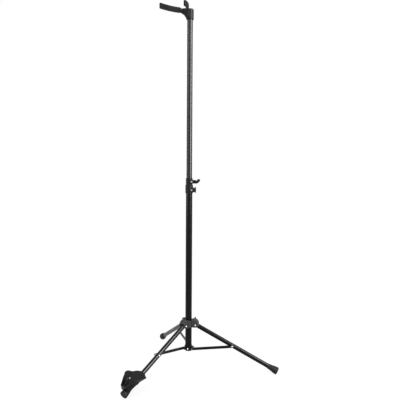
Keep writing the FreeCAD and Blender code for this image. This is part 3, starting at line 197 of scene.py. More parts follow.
def rounded_outline(corners, bend_points, run_points):
    """A closed outline through corners (x, y, radius): straight runs joined by arcs that touch
    them. Each corner gives as many points as any other, so that two outlines can be blended.
    Gives the points, and for each its corner's number plus its way to the next corner."""
    arcs = []
    for i, (x, y, radius) in enumerate(corners):
        corner = np.array((x, y))
        before = unit(np.array(corners[i - 1][:2]) - corner)
        after = unit(np.array(corners[(i + 1) % len(corners)][:2]) - corner)
        half = math.acos(before @ after) / 2
        centre = corner + unit(before + after) * radius / math.sin(half)
        first = corner + before * radius / math.tan(half) - centre
        last = corner + after * radius / math.tan(half) - centre
        sweep = math.pi - 2 * half
        s = np.linspace(0, 1, bend_points)[:, None]
        arcs.append(centre + (np.sin((1 - s) * sweep) * first + np.sin(s * sweep) * last)
                    / math.sin(sweep))
    points, way = [], []
    t = np.linspace(0, 1, run_points + 2)[1:-1]
    for i, arc in enumerate(arcs):
        following = arcs[(i + 1) % len(arcs)][0]
        points += [arc, arc[-1] + (following - arc[-1]) * t[:, None]]
        way += [i + 0.5 * np.linspace(0, 1, bend_points), i + 0.5 + 0.5 * t]
    return np.concatenate(points), np.concatenate(way)


BAR_BEND_POINTS, BAR_RUN_POINTS = 8, 3


def rounded_bar(half_width, half_height, rounding):
    """The section of a flat bar, a rectangle about zero with rounded corners."""
    corners = [(half_width, half_height, rounding), (-half_width, half_height, rounding),
               (-half_width, -half_height, rounding), (half_width, -half_height, rounding)]
    return rounded_outline(corners, BAR_BEND_POINTS, BAR_RUN_POINTS)[0]


def ring_faces(rings, columns, looped=False):
    """Quads between neighbouring rings of points that are numbered ring by ring."""
    i = np.arange(rings if looped else rings - 1)[:, None]
    j = np.arange(columns)[None, :]
    down, right = (i + 1) % rings, (j + 1) % columns
    corners = (i * columns + j, i * columns + right, down * columns + right, down * columns + j)
    return np.stack([c + 0 * (i + j) for c in corners], -1).reshape(-1, 4).tolist()


def closed_skin(rings):
    """Points and faces of rings joined in order, with a fan over the first and the last."""
    rings = np.asarray(rings)
    count, columns = rings.shape[:2]
    flat = rings.reshape(-1, 3)
    ends = rings[[0, -1]].mean(axis=1)
    first, last = list(range(columns)), [(count - 1) * columns + j for j in range(columns)]
    caps = [[flat.shape[0], first[(j + 1) % columns], first[j]] for j in range(columns)]
    caps += [[flat.shape[0] + 1, last[j], last[(j + 1) % columns]] for j in range(columns)]
    return np.concatenate([flat, ends]), ring_faces(count, columns) + caps


def volume(points, faces):
    """Six times the signed volume that closed faces hold, as a sum of triple products."""
    total = 0
    for size in (3, 4):
        some = np.array([face for face in faces if len(face) == size])
        for k in range(1, size - 1) if len(some) else ():
            a, b, c = points[some[:, 0]], points[some[:, k]], points[some[:, k + 1]]
            total += np.einsum("ij,ij->i", a, np.cross(b, c)).sum()
    return total


def piece(name, skins, finish, body, stands_for):
    """A smooth object from closed skins of points in metres, riding on a body in place of
    nodes. A skin that faces inwards is turned round."""
    points, faces, start = [], [], 0
    for some_points, some_faces in skins:
        way = 1 if volume(some_points, some_faces) > 0 else -1
        faces += [[start + corner for corner in face][::way] for face in some_faces]
        points.append(some_points)
        start += len(some_points)
    mesh = bpy.data.meshes.new(name)
    mesh.from_pydata(np.concatenate(points).tolist(), [], faces)
    mesh.polygons.foreach_set("use_smooth", np.ones(len(mesh.polygons), bool))
    mesh.materials.append(finish)
    thing = bpy.data.objects.new(name, mesh)
    bpy.context.collection.objects.link(thing)
    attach(thing, body)
    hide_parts(*stands_for)


def lathe(profile, turns):
    """Each profile point (along, radius) turned once round: x = along, y = r cos a and
    z = r sin a."""
    a = np.linspace(0, 2 * math.pi, turns, endpoint=False)[None, :]
    profile = np.asarray(profile, float)
    along, radius = profile[:, :1], profile[:, 1:]
    return np.stack([along + 0 * a, radius * np.cos(a), radius * np.sin(a)], -1)


def leg_axes(side):
    """Hub pivot, downhill, sideways and upper-side directions of a leg, at rest."""
    joint = JOINTS[f"leg_{side}_fold"]
    across = np.array(joint["axis"])
    out = np.cross(across, (0, 0, 1))
    slope = shapes().leg_slope
    down = out * math.cos(slope) - np.array((0, 0, math.sin(slope)))
    return np.array(joint["pos_m"]), down, across, np.cross(down, across)


def on_leg(side, points):
    """Points (along, across, above) of a leg's own directions, in the stand's frame."""
    pivot, *directions = leg_axes(side)
    return pivot + np.asarray(points) @ np.array(directions)


# Endpin cup

CORNER_BEND, WAIST_BEND, TOE_BEND = 5 * MM, 30 * MM, 10 * MM
TOE_BEND_LIMIT = 0.7  # the toe's bend as a share of its half width, at most
BACK_BEND = 1.15  # the back edge's bend as a share of the corners' half width
BACK_DRAWN_IN = 0.4  # how much of an inset the back edge follows
CUP_BEND_POINTS, CUP_RUN_POINTS = 10, 18
WALL_RISES, WALL_FALLS = (0.68, 1.0), (6.5, 6.82)  # along the outline, counted in corners
RIM_SOFTENING = 6 * MM
RIM_PASSES = 6
LIP_HEIGHT = 0.6 * MM
BEAD_LIMIT = 0.45  # the rim's bead as a share of the wall's height, at most
FLOOR_FILLET, LEAST_FILLET = 3 * MM, 0.1 * MM
FILLET_LIMIT = 0.5  # the fillet as a share of the inner wall's height, at most
UNDERSIDE_EDGE = 1.2 * MM
INNERMOST, OUTERMOST = 0.04, 0.96  # shares of the way from the middle to the wall's foot
INNER_WALL_START, OUTER_WALL_START = 0.15, 0.1  # first rings of the walls, as shares of them
FLOOR_RINGS_IN, FILLET_RINGS, WALL_RINGS, RIM_RINGS = 16, 7, 10, 10
EDGE_RINGS, UNDERSIDE_RINGS = 5, 12


def cup_outline(level, inset):
    """The cup's low outline at the wall's foot, or its high one above the rim, drawn in by part
    of the wall."""
    s = shapes()
    corner, waist, toe = (getattr(s, f"{word}_{level}") for word in ("corner", "waist", "toe"))
    side = [(corner[0], corner[1] - inset, CORNER_BEND),
            (waist[0], waist[1] - inset, WAIST_BEND),
            (toe[0] - inset, toe[1] - inset, min(TOE_BEND, TOE_BEND_LIMIT * (toe[1] - inset)))]
    mirrored = [(x, -y, radius) for x, y, radius in side]
    back = (s.cup_back[0] + BACK_DRAWN_IN * inset, 0, BACK_BEND * corner[1])
    return rounded_outline([back, *mirrored, *side[::-1]], CUP_BEND_POINTS, CUP_RUN_POINTS)


def cup_section(above, inset):
    """The cup's outline at heights n over the leg's axis, low + (high - low) (n - n0) / (n1 - n0),
    where n0 is the cup's underside and n1 the level of the high outline."""
    s = shapes()
    low, high = cup_outline("low", inset)[0], cup_outline("high", inset)[0]
    share = (above - s.cup_underside) / (s.cup_height - s.cup_underside)
    flat = low + (high - low) * np.reshape(share, (-1, 1))
    return np.concatenate([flat, np.reshape(above, (-1, 1)) + 0 * flat[:, :1]], -1)


def cup_rim(way, inset):
    """Height of the rim at each outline point: a line up to the peak and a line down to the
    end wall, as the mean of three places 6 mm apart; on the open back edge it is a low lip."""
    s = shapes()
    floor = s.cup_underside + s.cup_floor
    walled = smooth_step(*WALL_RISES, way) * (1 - smooth_step(*WALL_FALLS, way))
    heights = np.full(len(way), s.rim_peak[1])
    places, levels = zip(s.rim_start, s.rim_peak, s.rim_end)
    for _ in range(RIM_PASSES):
        along = cup_section(heights, inset)[:, 0]
        near = [np.interp(along + step, places, levels)
                for step in (-RIM_SOFTENING, 0, RIM_SOFTENING)]
        heights = floor + LIP_HEIGHT + (np.mean(near, axis=0) - floor - LIP_HEIGHT) * walled
    return heights


class STAND_OT_endpin_cup(bpy.types.Operator):
    """Moulds the flared endpin cup on the front leg"""
    bl_idname = "stand.endpin_cup"
    bl_label = "Endpin Cup"

    def execute(self, context):
        rings = np.array(list(self.rings()))
        piece("cup_shell", [closed_skin(on_leg("front", rings))], cup_plastic(), "leg_front",
              ["endpin_cup"])
        return {"FINISHED"}

    def rings(self):
        """Rings from the middle of the floor over a fillet, up the inner wall, over the
        half-round rim, down the outer wall and back to the middle of the underside."""
        s = shapes()
        way = cup_outline("low", 0)[1]
        floor, under, wall = s.cup_underside + s.cup_floor, s.cup_underside, s.cup_wall
        top = cup_rim(way, wall / 2)
        bead = np.minimum(wall / 2, BEAD_LIMIT * (top - under))
        fillet = np.minimum(FLOOR_FILLET, FILLET_LIMIT * (top - bead - floor).clip(LEAST_FILLET))
        middle = np.array(((s.cup_back[0] + s.toe_low[0]) / 2, 0))

        def inwards(ring, distance):
            """A ring drawn towards the middle by a distance."""
            reach = np.linalg.norm(ring[:, :2] - middle, axis=1, keepdims=True)
            kept = 1 - np.reshape(distance, (-1, 1)) / reach
            ring[:, :2] = middle + (ring[:, :2] - middle) * kept
            return ring

        def shrunk(height, inset, distance, share):
            """A level ring inside the wall's foot, at a share of the way from the middle."""
            ring = inwards(cup_section(np.full(len(way), height), inset), distance)
            ring[:, :2] = middle + (ring[:, :2] - middle) * share
            return ring

        for share in np.linspace(INNERMOST, OUTERMOST, FLOOR_RINGS_IN):
            yield shrunk(floor, wall, fillet, share)
        for bend in np.linspace(0, math.pi / 2, FILLET_RINGS):
            height = floor + fillet * (1 - math.cos(bend))
            yield inwards(cup_section(height, wall), fillet * (1 - math.sin(bend)))
        for share in np.linspace(INNER_WALL_START, 1, WALL_RINGS):
            yield cup_section(floor + fillet + (top - bead - floor - fillet) * share, wall)
        inner, outer = cup_section(top - bead, wall), cup_section(top - bead, 0)
        for bend in np.linspace(0, math.pi, RIM_RINGS)[1:]:
            ring = (inner + outer) / 2 + (inner - outer) / 2 * math.cos(bend)
            ring[:, 2] += bead * math.sin(bend)
            yield ring
        edge = UNDERSIDE_EDGE
        for share in np.linspace(OUTER_WALL_START, 1, WALL_RINGS):
            yield cup_section(top - bead + (under + edge - top + bead) * share, 0)
        for bend in np.linspace(0, math.pi / 2, EDGE_RINGS)[1:]:
            height = np.full(len(way), under + edge * (1 - math.sin(bend)))
            yield inwards(cup_section(height, 0), edge * (1 - math.cos(bend)))
        for share in np.linspace(OUTERMOST, INNERMOST, UNDERSIDE_RINGS):
            yield shrunk(under, 0, edge, share)


# Rubber feet

FOOT_TURNS = 96
SKIN_POINTS, END_POINTS, BORE_POINTS = 56, 10, 20
FOOT_ROUND_END = 3 * MM
FOOT_LIP, LIP_REACH = 0.5 * MM, 0.05  # the lip's height, and its share of the foot's length
FLARE_END = 0.95  # where the flare is complete, as a share of the foot's length
FOOT_BORE_GAP = 0.05 * MM
FOOT_END_WALL = 4 * MM
FOOT_END_FLAT = 0.55  # a ring on the end face, as a share of the foot's radius
AXIS_GAP = 0.01 * MM
CUP_END_GAP, CUP_STEP = 0.3 * MM, 0.01 * MM  # from the cup's end wall; half the step's length
FLAT_OUTSIDE, FLAT_INSIDE = 5 * MM, 4.9 * MM  # the front boot's top over the leg's axis


def foot_profile():
    """A boot (along, radius) that flares like a soft step from a lip at its mouth to a round
    end. It is a closed loop: out along the skin, round the end, and back inside the wall."""
    s = shapes()
    end, full, neck = s.foot_end, s.foot_radius, s.foot_neck
    mouth, round_end = end - s.foot_length, FOOT_ROUND_END
    x = np.linspace(0, 1, SKIN_POINTS)
    lip = FOOT_LIP * np.exp(-(x / LIP_REACH) ** 2)
    skin = neck - FOOT_LIP + (full - neck + FOOT_LIP) * smooth_step(0, FLARE_END, x) + lip
    outer = np.stack([mouth + (end - round_end - mouth) * x, skin], -1)
    bend = np.linspace(0, math.pi / 2, END_POINTS)[1:]
    edge = np.stack([end - round_end + round_end * np.sin(bend),
                     full - round_end + round_end * np.cos(bend)], -1)
    bore, wall_end = s.leg_radius + FOOT_BORE_GAP, end - FOOT_END_WALL
    inside = np.array([(end, FOOT_END_FLAT * full), (end, AXIS_GAP), (wall_end, AXIS_GAP),
                       (wall_end, bore)])
    x = np.linspace(1, 0, BORE_POINTS)[:, None]
    bore_line = np.concatenate([mouth + (wall_end - mouth) * x, bore + 0 * x], -1)[1:]
    return np.concatenate([outer, edge, inside, bore_line])


class STAND_OT_rubber_feet(bpy.types.Operator):
    """Moulds the flared rubber feet, the front one open on top under the cup"""
    bl_idname = "stand.rubber_feet"
    bl_label = "Rubber Feet"

    def execute(self, context):
        for side in SIDES:
            profile = self.front_profile() if side == "front" else foot_profile()
            rings = lathe(profile, FOOT_TURNS)
            if side == "front":
                rings = self.opened(rings, profile)
            points = on_leg(side, rings).reshape(-1, 3)
            points[:, 2] = np.maximum(points[:, 2], 0)
            faces = ring_faces(len(profile), FOOT_TURNS, looped=True)
            piece(f"foot_boot_{side}", [(points, faces)], rubber(), f"leg_{side}",
                  [f"foot_{side}"])
        return {"FINISHED"}

    def front_profile(self):
        """The foot's profile with a pair of close points on each skin where the cup ends."""
        profile = foot_profile()
        step = shapes().toe_low[0] + CUP_END_GAP
        rows = []
        for here, after in zip(profile, np.roll(profile, -1, axis=0)):
            rows.append(here)
            if (here[0] - step) * (after[0] - step) < 0:
                share = (step - here[0]) / (after[0] - here[0])
                radius = here[1] + (after[1] - here[1]) * share
                near = CUP_STEP * np.sign(after[0] - here[0])
                rows += [np.array((step - near, radius)), np.array((step + near, radius))]
        return np.array(rows)

    def opened(self, rings, profile):
        """Under the cup the boot ends at a flat over the leg's axis, which is a little lower on
        the bore's side."""
        outside = profile[:, 1] > shapes().leg_radius + 2 * FOOT_BORE_GAP
        level = np.where(outside, FLAT_OUTSIDE, FLAT_INSIDE)[:, None]
        covered = profile[:, :1] < shapes().toe_low[0] + CUP_END_GAP
        rings[..., 2] = np.where(covered, np.minimum(rings[..., 2], level), rings[..., 2])
        return rings


# Fork sleeves

ROOT_EDGE = 1 * MM
TIP_DROOP = 1.2 * MM  # how much a sleeve's half height shrinks at its tip
LEAST_HALF_WIDTH = 0.02 * MM
ROUNDING_LIMIT = 0.9  # a rounding as a share of the half width, at most
ROOT_SECTIONS, ARM_SECTIONS, TIP_SECTIONS = 8, 90, 16


def sleeve_rings(way):
    """A rounded rectangle carried along the arm's arc. Near the tip its half width follows
    the quarter circle sqrt(1 - (1 - x)^2), near the root it has a short round edge."""
    s = shapes()
    low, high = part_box("fork_sleeve_left")
    heading = s.fork_azimuth
    ahead = np.array((math.cos(heading), math.sin(heading), 0))
    left = np.array((-math.sin(heading), math.cos(heading), 0))
    middle = np.array((0, 0, (low[2] + high[2]) / 2))
    ahead_centre = s.arm_root[0] + s.arm_bend * math.sin(s.arm_root_angle)
    side_centre = s.arm_root[1] - s.arm_bend * math.cos(s.arm_root_angle)
    half = s.sleeve_thickness / 2
    reach = s.sleeve_sweep + half / s.arm_bend
    length_over = reach * s.arm_bend
    root_share, tip_share = ROOT_EDGE / length_over, half / length_over
    quarter = np.linspace(0, 1, TIP_SECTIONS)[1:] * math.pi / 2
    stations = np.concatenate([
        np.linspace(0, ROOT_EDGE, ROOT_SECTIONS)[:-1] / length_over,
        np.linspace(root_share, 1 - tip_share, ARM_SECTIONS),
        1 - tip_share * (1 - np.sin(quarter))])
    for u in stations:
        from_root, from_tip = u * reach * s.arm_bend, (1 - u) * reach * s.arm_bend
        close = math.sqrt(max(0, 1 - (1 - min(1, from_tip / half)) ** 2))
        lip = math.sqrt(max(0, 1 - (1 - min(1, from_root / ROOT_EDGE)) ** 2))
        width = max(half * close - ROOT_EDGE * (1 - lip), LEAST_HALF_WIDTH)
        height = s.sleeve_height / 2 - ROOT_EDGE * (1 - lip) - TIP_DROOP * (1 - close)
        section = rounded_bar(width, height, min(s.sleeve_rounding, ROUNDING_LIMIT * width))
        radius = s.arm_bend + half + section[:, 0]
        turn = s.arm_root_angle - s.sleeve_start - u * reach
        forward = ahead_centre - radius * math.sin(turn)
        sideways = way * (side_centre + radius * math.cos(turn))
        yield middle + forward[:, None] * ahead + sideways[:, None] * left \
            + section[:, 1:] * np.array((0, 0, 1))


class STAND_OT_fork_sleeves(bpy.types.Operator):
    """Moulds the rubber sleeves on the fork's arms"""
    bl_idname = "stand.fork_sleeves"
    bl_label = "Fork Sleeves"

    def execute(self, context):
        for side, way in (("left", 1), ("right", -1)):
            skin = closed_skin(list(sleeve_rings(way)))
            piece(f"neck_sleeve_{side}", [skin], sleeve_rubber(), "mast",
                  [f"fork_sleeve_{side}"])
        return {"FINISHED"}


# Clamp lever, wing nut and wing screw

HANDLE_TURNS = 48
HANDLE_BEVEL = 0.8 * MM
SCREW_SHANK, SHANK_BEVEL = 3 * MM, 0.6 * MM
SHANK_INSIDE = 2 * MM  # how far the shank runs into the barrel
SCREW_GAP = 0.3 * MM  # between the wing screw's barrel and the hub
WING_ROOT_BEND, WING_TIP_BEND, NOTCH_BEND = 1 * MM, 2.5 * MM, 3 * MM
WING_BEVEL = 1 * MM
ARM_ROUNDING = 2.2 * MM
LEAST_TIP = 0.0004  # square of the share that the arm's tip keeps of its thickness
BEVEL_POINTS, WING_POINTS, PLATE_RINGS = 6, 8, 14
LEVER_SECTIONS, LEVER_TIP_SECTIONS = 36, 20


def at_screw(name, points):
    """Points (across, along, up): across and up count from the axis of the joint, which is
    parallel to Y, and along is the stand's own Y."""
    return np.array(JOINTS[name]["pos_m"]) * (1, 0, 1) + np.asarray(points)


def turned(profile):
    """Rings about the Y axis from (along, radius) in metres, with both ends almost closed."""
    profile = [(profile[0][0], 2 * AXIS_GAP), *profile, (profile[-1][0], 2 * AXIS_GAP)]
    return lathe(profile, HANDLE_TURNS)[..., [1, 0, 2]]


def bevelled_barrel(start, end, radius, bevel):
    """A barrel whose end edges are quarter circles of the bevel's radius."""
    bend = np.linspace(0, math.pi / 2, BEVEL_POINTS)
    first = np.stack([start + bevel * (1 - np.sin(bend)), radius - bevel * (1 - np.cos(bend))], -1)
    last = np.stack([end - bevel * (1 - np.sin(bend)), radius - bevel * (1 - np.cos(bend))], -1)
    return turned([*first[::-1].tolist(), *last.tolist()])


def barrel_end(start):
    """Where the barrel between two wings ends, whose inner tips are at the start."""
    return start + shapes().wing_depth * 2 / 3


def wing_plate(root, start):
    """Both wings as one plate in the plane of the screw: the outline widens from the root to
    the wings' inner tips, and its edges are rounded over like quarter circles."""
    s = shapes()
    grip, span, outer = s.wing_grip / 2, s.wing_span, start + s.wing_depth
    half = [(root, grip, WING_ROOT_BEND), (start, span, WING_TIP_BEND),
            (outer, span, WING_TIP_BEND)]
    notch = (barrel_end(start), 0, NOTCH_BEND)
    mirrored = [(y, -z, radius) for y, z, radius in half[::-1]]
    edge = rounded_outline([*half, notch, *mirrored], WING_POINTS, WING_POINTS)[0]
    along = np.roll(edge, -1, axis=0) - np.roll(edge, 1, axis=0)
    inward = np.stack([along[:, 1], -along[:, 0]], -1)
    inward /= np.linalg.norm(inward, axis=1, keepdims=True)
    if inward[0] @ (edge.mean(axis=0) - edge[0]) < 0:
        inward = -inward
    bevel, thick = WING_BEVEL, s.wing_thickness / 2
    for turn in np.linspace(-math.pi / 2, math.pi / 2, PLATE_RINGS):
        inset = bevel * (1 - math.cos(turn))
        x = math.copysign(thick - bevel, turn) + bevel * math.sin(turn)
        ring = edge + inward * inset
        yield np.concatenate([np.full((len(ring), 1), x), ring], -1)


class STAND_OT_handles(bpy.types.Operator):
    """Moulds the clamp lever, the wing nut and the hub's wing screw"""
    bl_idname = "stand.handles"
    bl_label = "Handles"

    def execute(self, context):
        s = shapes()
        start = JOINTS["clamp_lever_turn"]["pos_m"][1]
        boss = bevelled_barrel(start, start + s.lever_width, s.lever_boss, HANDLE_BEVEL)
        self.handle("cam_lever", "clamp_lever_turn", "lever", "clamp_lever",
                    [boss, list(self.arm(start))])
        start = JOINTS["wing_nut_turn"]["pos_m"][1]
        root, tips = s.nut_wings
        barrel = bevelled_barrel(start, barrel_end(tips), s.wing_grip, HANDLE_BEVEL)
        self.handle("collar_wing_nut", "wing_nut_turn", "wing_nut", "clamp_wing_nut",
                    [barrel, list(wing_plate(root, tips))])
        inner_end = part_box("hub_wing_screw")[0][1]
        start = JOINTS["hub_screw_turn"]["pos_m"][1] + SCREW_GAP
        root, tips = s.screw_wings
        barrel = bevelled_barrel(start, barrel_end(tips), s.wing_grip, HANDLE_BEVEL)
        shank = bevelled_barrel(inner_end, start + SHANK_INSIDE, SCREW_SHANK, SHANK_BEVEL)
        self.handle("hub_wing_knob", "hub_screw_turn", "hub_screw", "hub_wing_screw",
                    [barrel, shank, list(wing_plate(root, tips))])
        return {"FINISHED"}

    def handle(self, name, joint, body, node, skins):
        piece(name, [closed_skin(at_screw(joint, rings)) for rings in skins], cup_plastic(), body,
              [node])

    def arm(self, start):
        """The arm's rounded section carried along its arc, closed like half circles."""
        s = shapes()
        half, wide = s.lever_thickness / 2, s.lever_width / 2
        reach = (s.lever_root + s.lever_tip) * s.lever_bend + half
        rounded = 1 - half / reach
        quarter = np.linspace(0, 1, LEVER_TIP_SECTIONS) * math.pi / 2
        stations = np.concatenate([
            np.linspace(0, rounded, LEVER_SECTIONS)[:-1],
            rounded + (1 - rounded) * np.sin(quarter)])
        for u in stations:
            close = math.sqrt(max(LEAST_TIP, 1 - (1 - min(1, (1 - u) * reach / half)) ** 2))
            thick, broad = half * close, wide - HANDLE_BEVEL * (1 - close)
            section = rounded_bar(thick, broad, min(ARM_ROUNDING, ROUNDING_LIMIT * thick))
            turn = u * reach / s.lever_bend - s.lever_root
            radius = s.lever_bend + section[:, 0]
            out = s.lever_low[0] + radius * math.sin(turn)
            up = s.lever_low[1] + s.lever_bend - radius * math.cos(turn)
            yield np.stack([out, start + wide + section[:, 1], up], -1)


# Finishes

NOISE_LOW, NOISE_HIGH = 0.3, 0.7  # the span of the noise that the patterns use
LEAST_ROUGHNESS = 0.02


class Finish:
    """A node material whose patterns lie in the object's own coordinates."""

    def __init__(self, name, base, roughness, metallic=0.0, specular=0.5):
        self.material = bpy.data.materials.new(name)
        self.material.use_nodes = True
        self.tree = self.material.node_tree
        self.shader = self.tree.nodes["Principled BSDF"]
        self.shader.inputs["Metallic"].default_value = metallic
        self.shader.inputs["Specular IOR Level"].default_value = specular
        self.base, self.roughness = base, roughness
        self.place = self.tree.nodes.new("ShaderNodeTexCoord").outputs["Object"]

    def noise(self, scale, detail=3.0, stretch=(1, 1, 1)):
        """Cloudy noise with about scale features to the metre, drawn out along an axis."""
        mapping = self.tree.nodes.new("ShaderNodeMapping")
        mapping.inputs["Scale"].default_value = stretch
        noise = self.tree.nodes.new("ShaderNodeTexNoise")
        noise.inputs["Scale"].default_value = scale
        noise.inputs["Detail"].default_value = detail
        self.tree.links.new(self.place, mapping.inputs["Vector"])
        self.tree.links.new(mapping.outputs["Vector"], noise.inputs["Vector"])
        return noise.outputs["Fac"]

    def shade(self, pattern, darker, lighter):
        """The base colour swings between darker and lighter with a pattern."""
        ramp = self.tree.nodes.new("ShaderNodeValToRGB")
        ends = ((NOISE_LOW, darker), (NOISE_HIGH, lighter))
        for stop, (position, share) in zip(ramp.color_ramp.elements, ends):
            stop.position = position
            stop.color = [min(1, channel * share) for channel in self.base] + [1]
        self.tree.links.new(pattern, ramp.inputs["Fac"])
        self.tree.links.new(ramp.outputs["Color"], self.shader.inputs["Base Color"])

    def sheen(self, pattern, swing):
        """The roughness swings round its middle value with a pattern."""
        spread = self.tree.nodes.new("ShaderNodeMapRange")
        spread.inputs["From Min"].default_value = NOISE_LOW
        spread.inputs["From Max"].default_value = NOISE_HIGH
        spread.inputs["To Min"].default_value = max(LEAST_ROUGHNESS, self.roughness - swing)
        spread.inputs["To Max"].default_value = min(1, self.roughness + swing)
        self.tree.links.new(pattern, spread.inputs["Value"])
        self.tree.links.new(spread.outputs["Result"], self.shader.inputs["Roughness"])

    def grain(self, pattern, strength, depth):
        """A bump of some depth in metres from a pattern."""
        bump = self.tree.nodes.new("ShaderNodeBump")
        bump.inputs["Strength"].default_value = strength
        bump.inputs["Distance"].default_value = depth
        self.tree.links.new(pattern, bump.inputs["Height"])
        self.tree.links.new(bump.outputs["Normal"], self.shader.inputs["Normal"])


def once(make):
    """Makes a finish the first time it is asked for and hands out the same one later."""
    made = []

    def given():
        if not made:
            made.append(make())
        return made[0]
    return given


@once
def powder_coat():
    f = finishes()
    finish = Finish("powder_coat", f.paint, roughness=f.paint_roughness, specular=0.13)
    finish.shade(finish.noise(scale=9), darker=0.75, lighter=1.3)
    finish.sheen(finish.noise(scale=55), swing=0.05)
    finish.grain(finish.noise(scale=1500, detail=1), strength=0.12, depth=0.0001)
    return finish.material


@once
def mast_coat():
    f = finishes()
    finish = Finish("mast_coat", f.mast, roughness=f.mast_roughness, specular=0.2)
    finish.shade(finish.noise(scale=7, detail=2, stretch=(1, 1, 0.2)), darker=0.85, lighter=1.15)
    finish.sheen(finish.noise(scale=40), swing=0.04)
    finish.grain(finish.noise(scale=1500, detail=1), strength=0.1, depth=0.0001)
    return finish.material


@once
def matte_coat():
    """The matt, slightly rough finish of the clamp collar, the fork's hub and its bars."""
    f = finishes()
    finish = Finish("matte_coat", f.paint, roughness=0.5, specular=0.13)
    finish.shade(finish.noise(scale=20), darker=0.75, lighter=1.35)
    finish.sheen(finish.noise(scale=70), swing=0.06)
    finish.grain(finish.noise(scale=1100, detail=2), strength=0.25, depth=0.0002)
    return finish.material


@once
def hub_plastic():
    f = finishes()
    finish = Finish("hub_plastic", f.hub, roughness=0.6, specular=0.3)
    finish.shade(finish.noise(scale=30), darker=0.8, lighter=1.2)
    finish.sheen(finish.noise(scale=80), swing=0.06)
    finish.grain(finish.noise(scale=1800, detail=2), strength=0.3, depth=0.0002)
    return finish.material


@once
def cup_plastic():
    f = finishes()
    finish = Finish("cup_plastic", f.cup, roughness=0.4, specular=0.16)
    finish.shade(finish.noise(scale=25), darker=0.75, lighter=1.35)
    finish.sheen(finish.noise(scale=70), swing=0.08)
    finish.grain(finish.noise(scale=1600, detail=2), strength=0.3, depth=0.0002)
    return finish.material


@once
def rubber():
    f = finishes()
    finish = Finish("rubber", f.rubber, roughness=0.65, specular=0.15)
    finish.shade(finish.noise(scale=40, detail=5), darker=0.8, lighter=1.35)
    finish.sheen(finish.noise(scale=120), swing=0.07)
    finish.grain(finish.noise(scale=1300, detail=3), strength=0.3, depth=0.0003)
    return finish.material


@once
def sleeve_rubber():
    """The sleeves' soft rubber, half as light as the feet's, with a fine pitted skin."""
    f = finishes()
    darker = [channel / 2 for channel in f.rubber]
    finish = Finish("sleeve_rubber", darker, roughness=0.6, specular=0.08)
    finish.shade(finish.noise(scale=60, detail=5), darker=0.85, lighter=1.25)
    finish.sheen(finish.noise(scale=150), swing=0.06)
    finish.grain(finish.noise(scale=900, detail=4), strength=0.35, depth=0.0003)
    return finish.material


@once
def plated_steel():
    f = finishes()
    finish = Finish("plated_steel", f.steel, roughness=0.36, metallic=1.0)
    finish.shade(finish.noise(scale=220), darker=0.84, lighter=1.1)
    finish.sheen(finish.noise(scale=400), swing=0.08)
    finish.grain(finish.noise(scale=2500, detail=1), strength=0.12, depth=0.0001)
    return finish.material


@once
def brass():
    finish = Finish("brass", (0.6, 0.42, 0.18), roughness=0.32, metallic=1.0)
    finish.shade(finish.noise(scale=200), darker=0.85, lighter=1.08)
    finish.sheen(finish.noise(scale=300), swing=0.06)
    finish.grain(finish.noise(scale=2500, detail=1), strength=0.1, depth=0.0001)
    return finish.material


@once
def bearing_plastic():
    finish = Finish("bearing_plastic", (0.012, 0.012, 0.013), roughness=0.48, specular=0.25)
    finish.shade(finish.noise(scale=45), darker=0.85, lighter=1.2)
    finish.sheen(finish.noise(scale=90), swing=0.07)
    finish.grain(finish.noise(scale=1500, detail=1), strength=0.15, depth=0.0001)
    return finish.material


class STAND_OT_frame_finishes(bpy.types.Operator):
    """Gives every node of the fixed frame the finish of its material slot"""
    bl_idname = "stand.frame_finishes"
    bl_label = "Frame Finishes"

    def execute(self, context):
        finish_of = {
            "black_steel": powder_coat, "hub_plastic": hub_plastic, "cup_plastic": cup_plastic,
            "black_rubber": rubber, "zinc": plated_steel, "brass": brass,
            "bush_plastic": bearing_plastic}
        for part in frame["record"]["subparts"]:
            mesh = NODES[part["node"]].data
            finish = finish_of[part["material_slot"]]
            if part["node"] == "upper_tube":
                finish = mast_coat
            elif part["node"] in ("fork_hub", "fork_bracket", "clamp_collar"):
                finish = matte_coat
            mesh.materials.clear()
            mesh.materials.append(finish())
        return {"FINISHED"}


# Stage

FLOOR_RINGS = (0.05, 2, 6, 14)  # radii in metres
FLOOR_TURNS = 96
FLOOR_DROP = 0.0002  # metres below the feet
FLOOR_GLOW, FLOOR_SHADED = 0.88, 0.2  # seen directly: its own light, and its lit colour
WORLD_LIGHT, WORLD_SEEN = 0.6, 1.0
FILM_WIDTH = 36  # millimetres
FILL_AIM = 0.8  # height that the front fill points at, in metres
FAR_END = 100  # farthest distance that the camera shows, in metres
# Name, direction from the camera's in degrees, distance and height in metres, size in metres
# and power in watts
LAMPS = (
    ("key_box", 54, 2.2, 1.98, (0.9, 2.45), 300),
    ("side_strip", -62, 2.4, 1.6, (0.5, 2.2), 55),
    ("front_fill", -15, 2.6, 2.6, (1.6, 1.6), 35),
)


def seen_directly(tree):
    """One on rays from the camera, a mirror or glass, zero on the rays that light things."""
    path = tree.nodes.new("ShaderNodeLightPath")
    total = tree.nodes.new("ShaderNodeMath")
    total.operation = "ADD"
    tree.links.new(path.outputs["Is Camera Ray"], total.inputs[0])
    tree.links.new(path.outputs["Is Glossy Ray"], total.inputs[1])
    both = tree.nodes.new("ShaderNodeMath")
    both.operation = "ADD"
    both.use_clamp = True
    tree.links.new(total.outputs[0], both.inputs[0])
    tree.links.new(path.outputs["Is Transmission Ray"], both.inputs[1])
    return both.outputs[0]


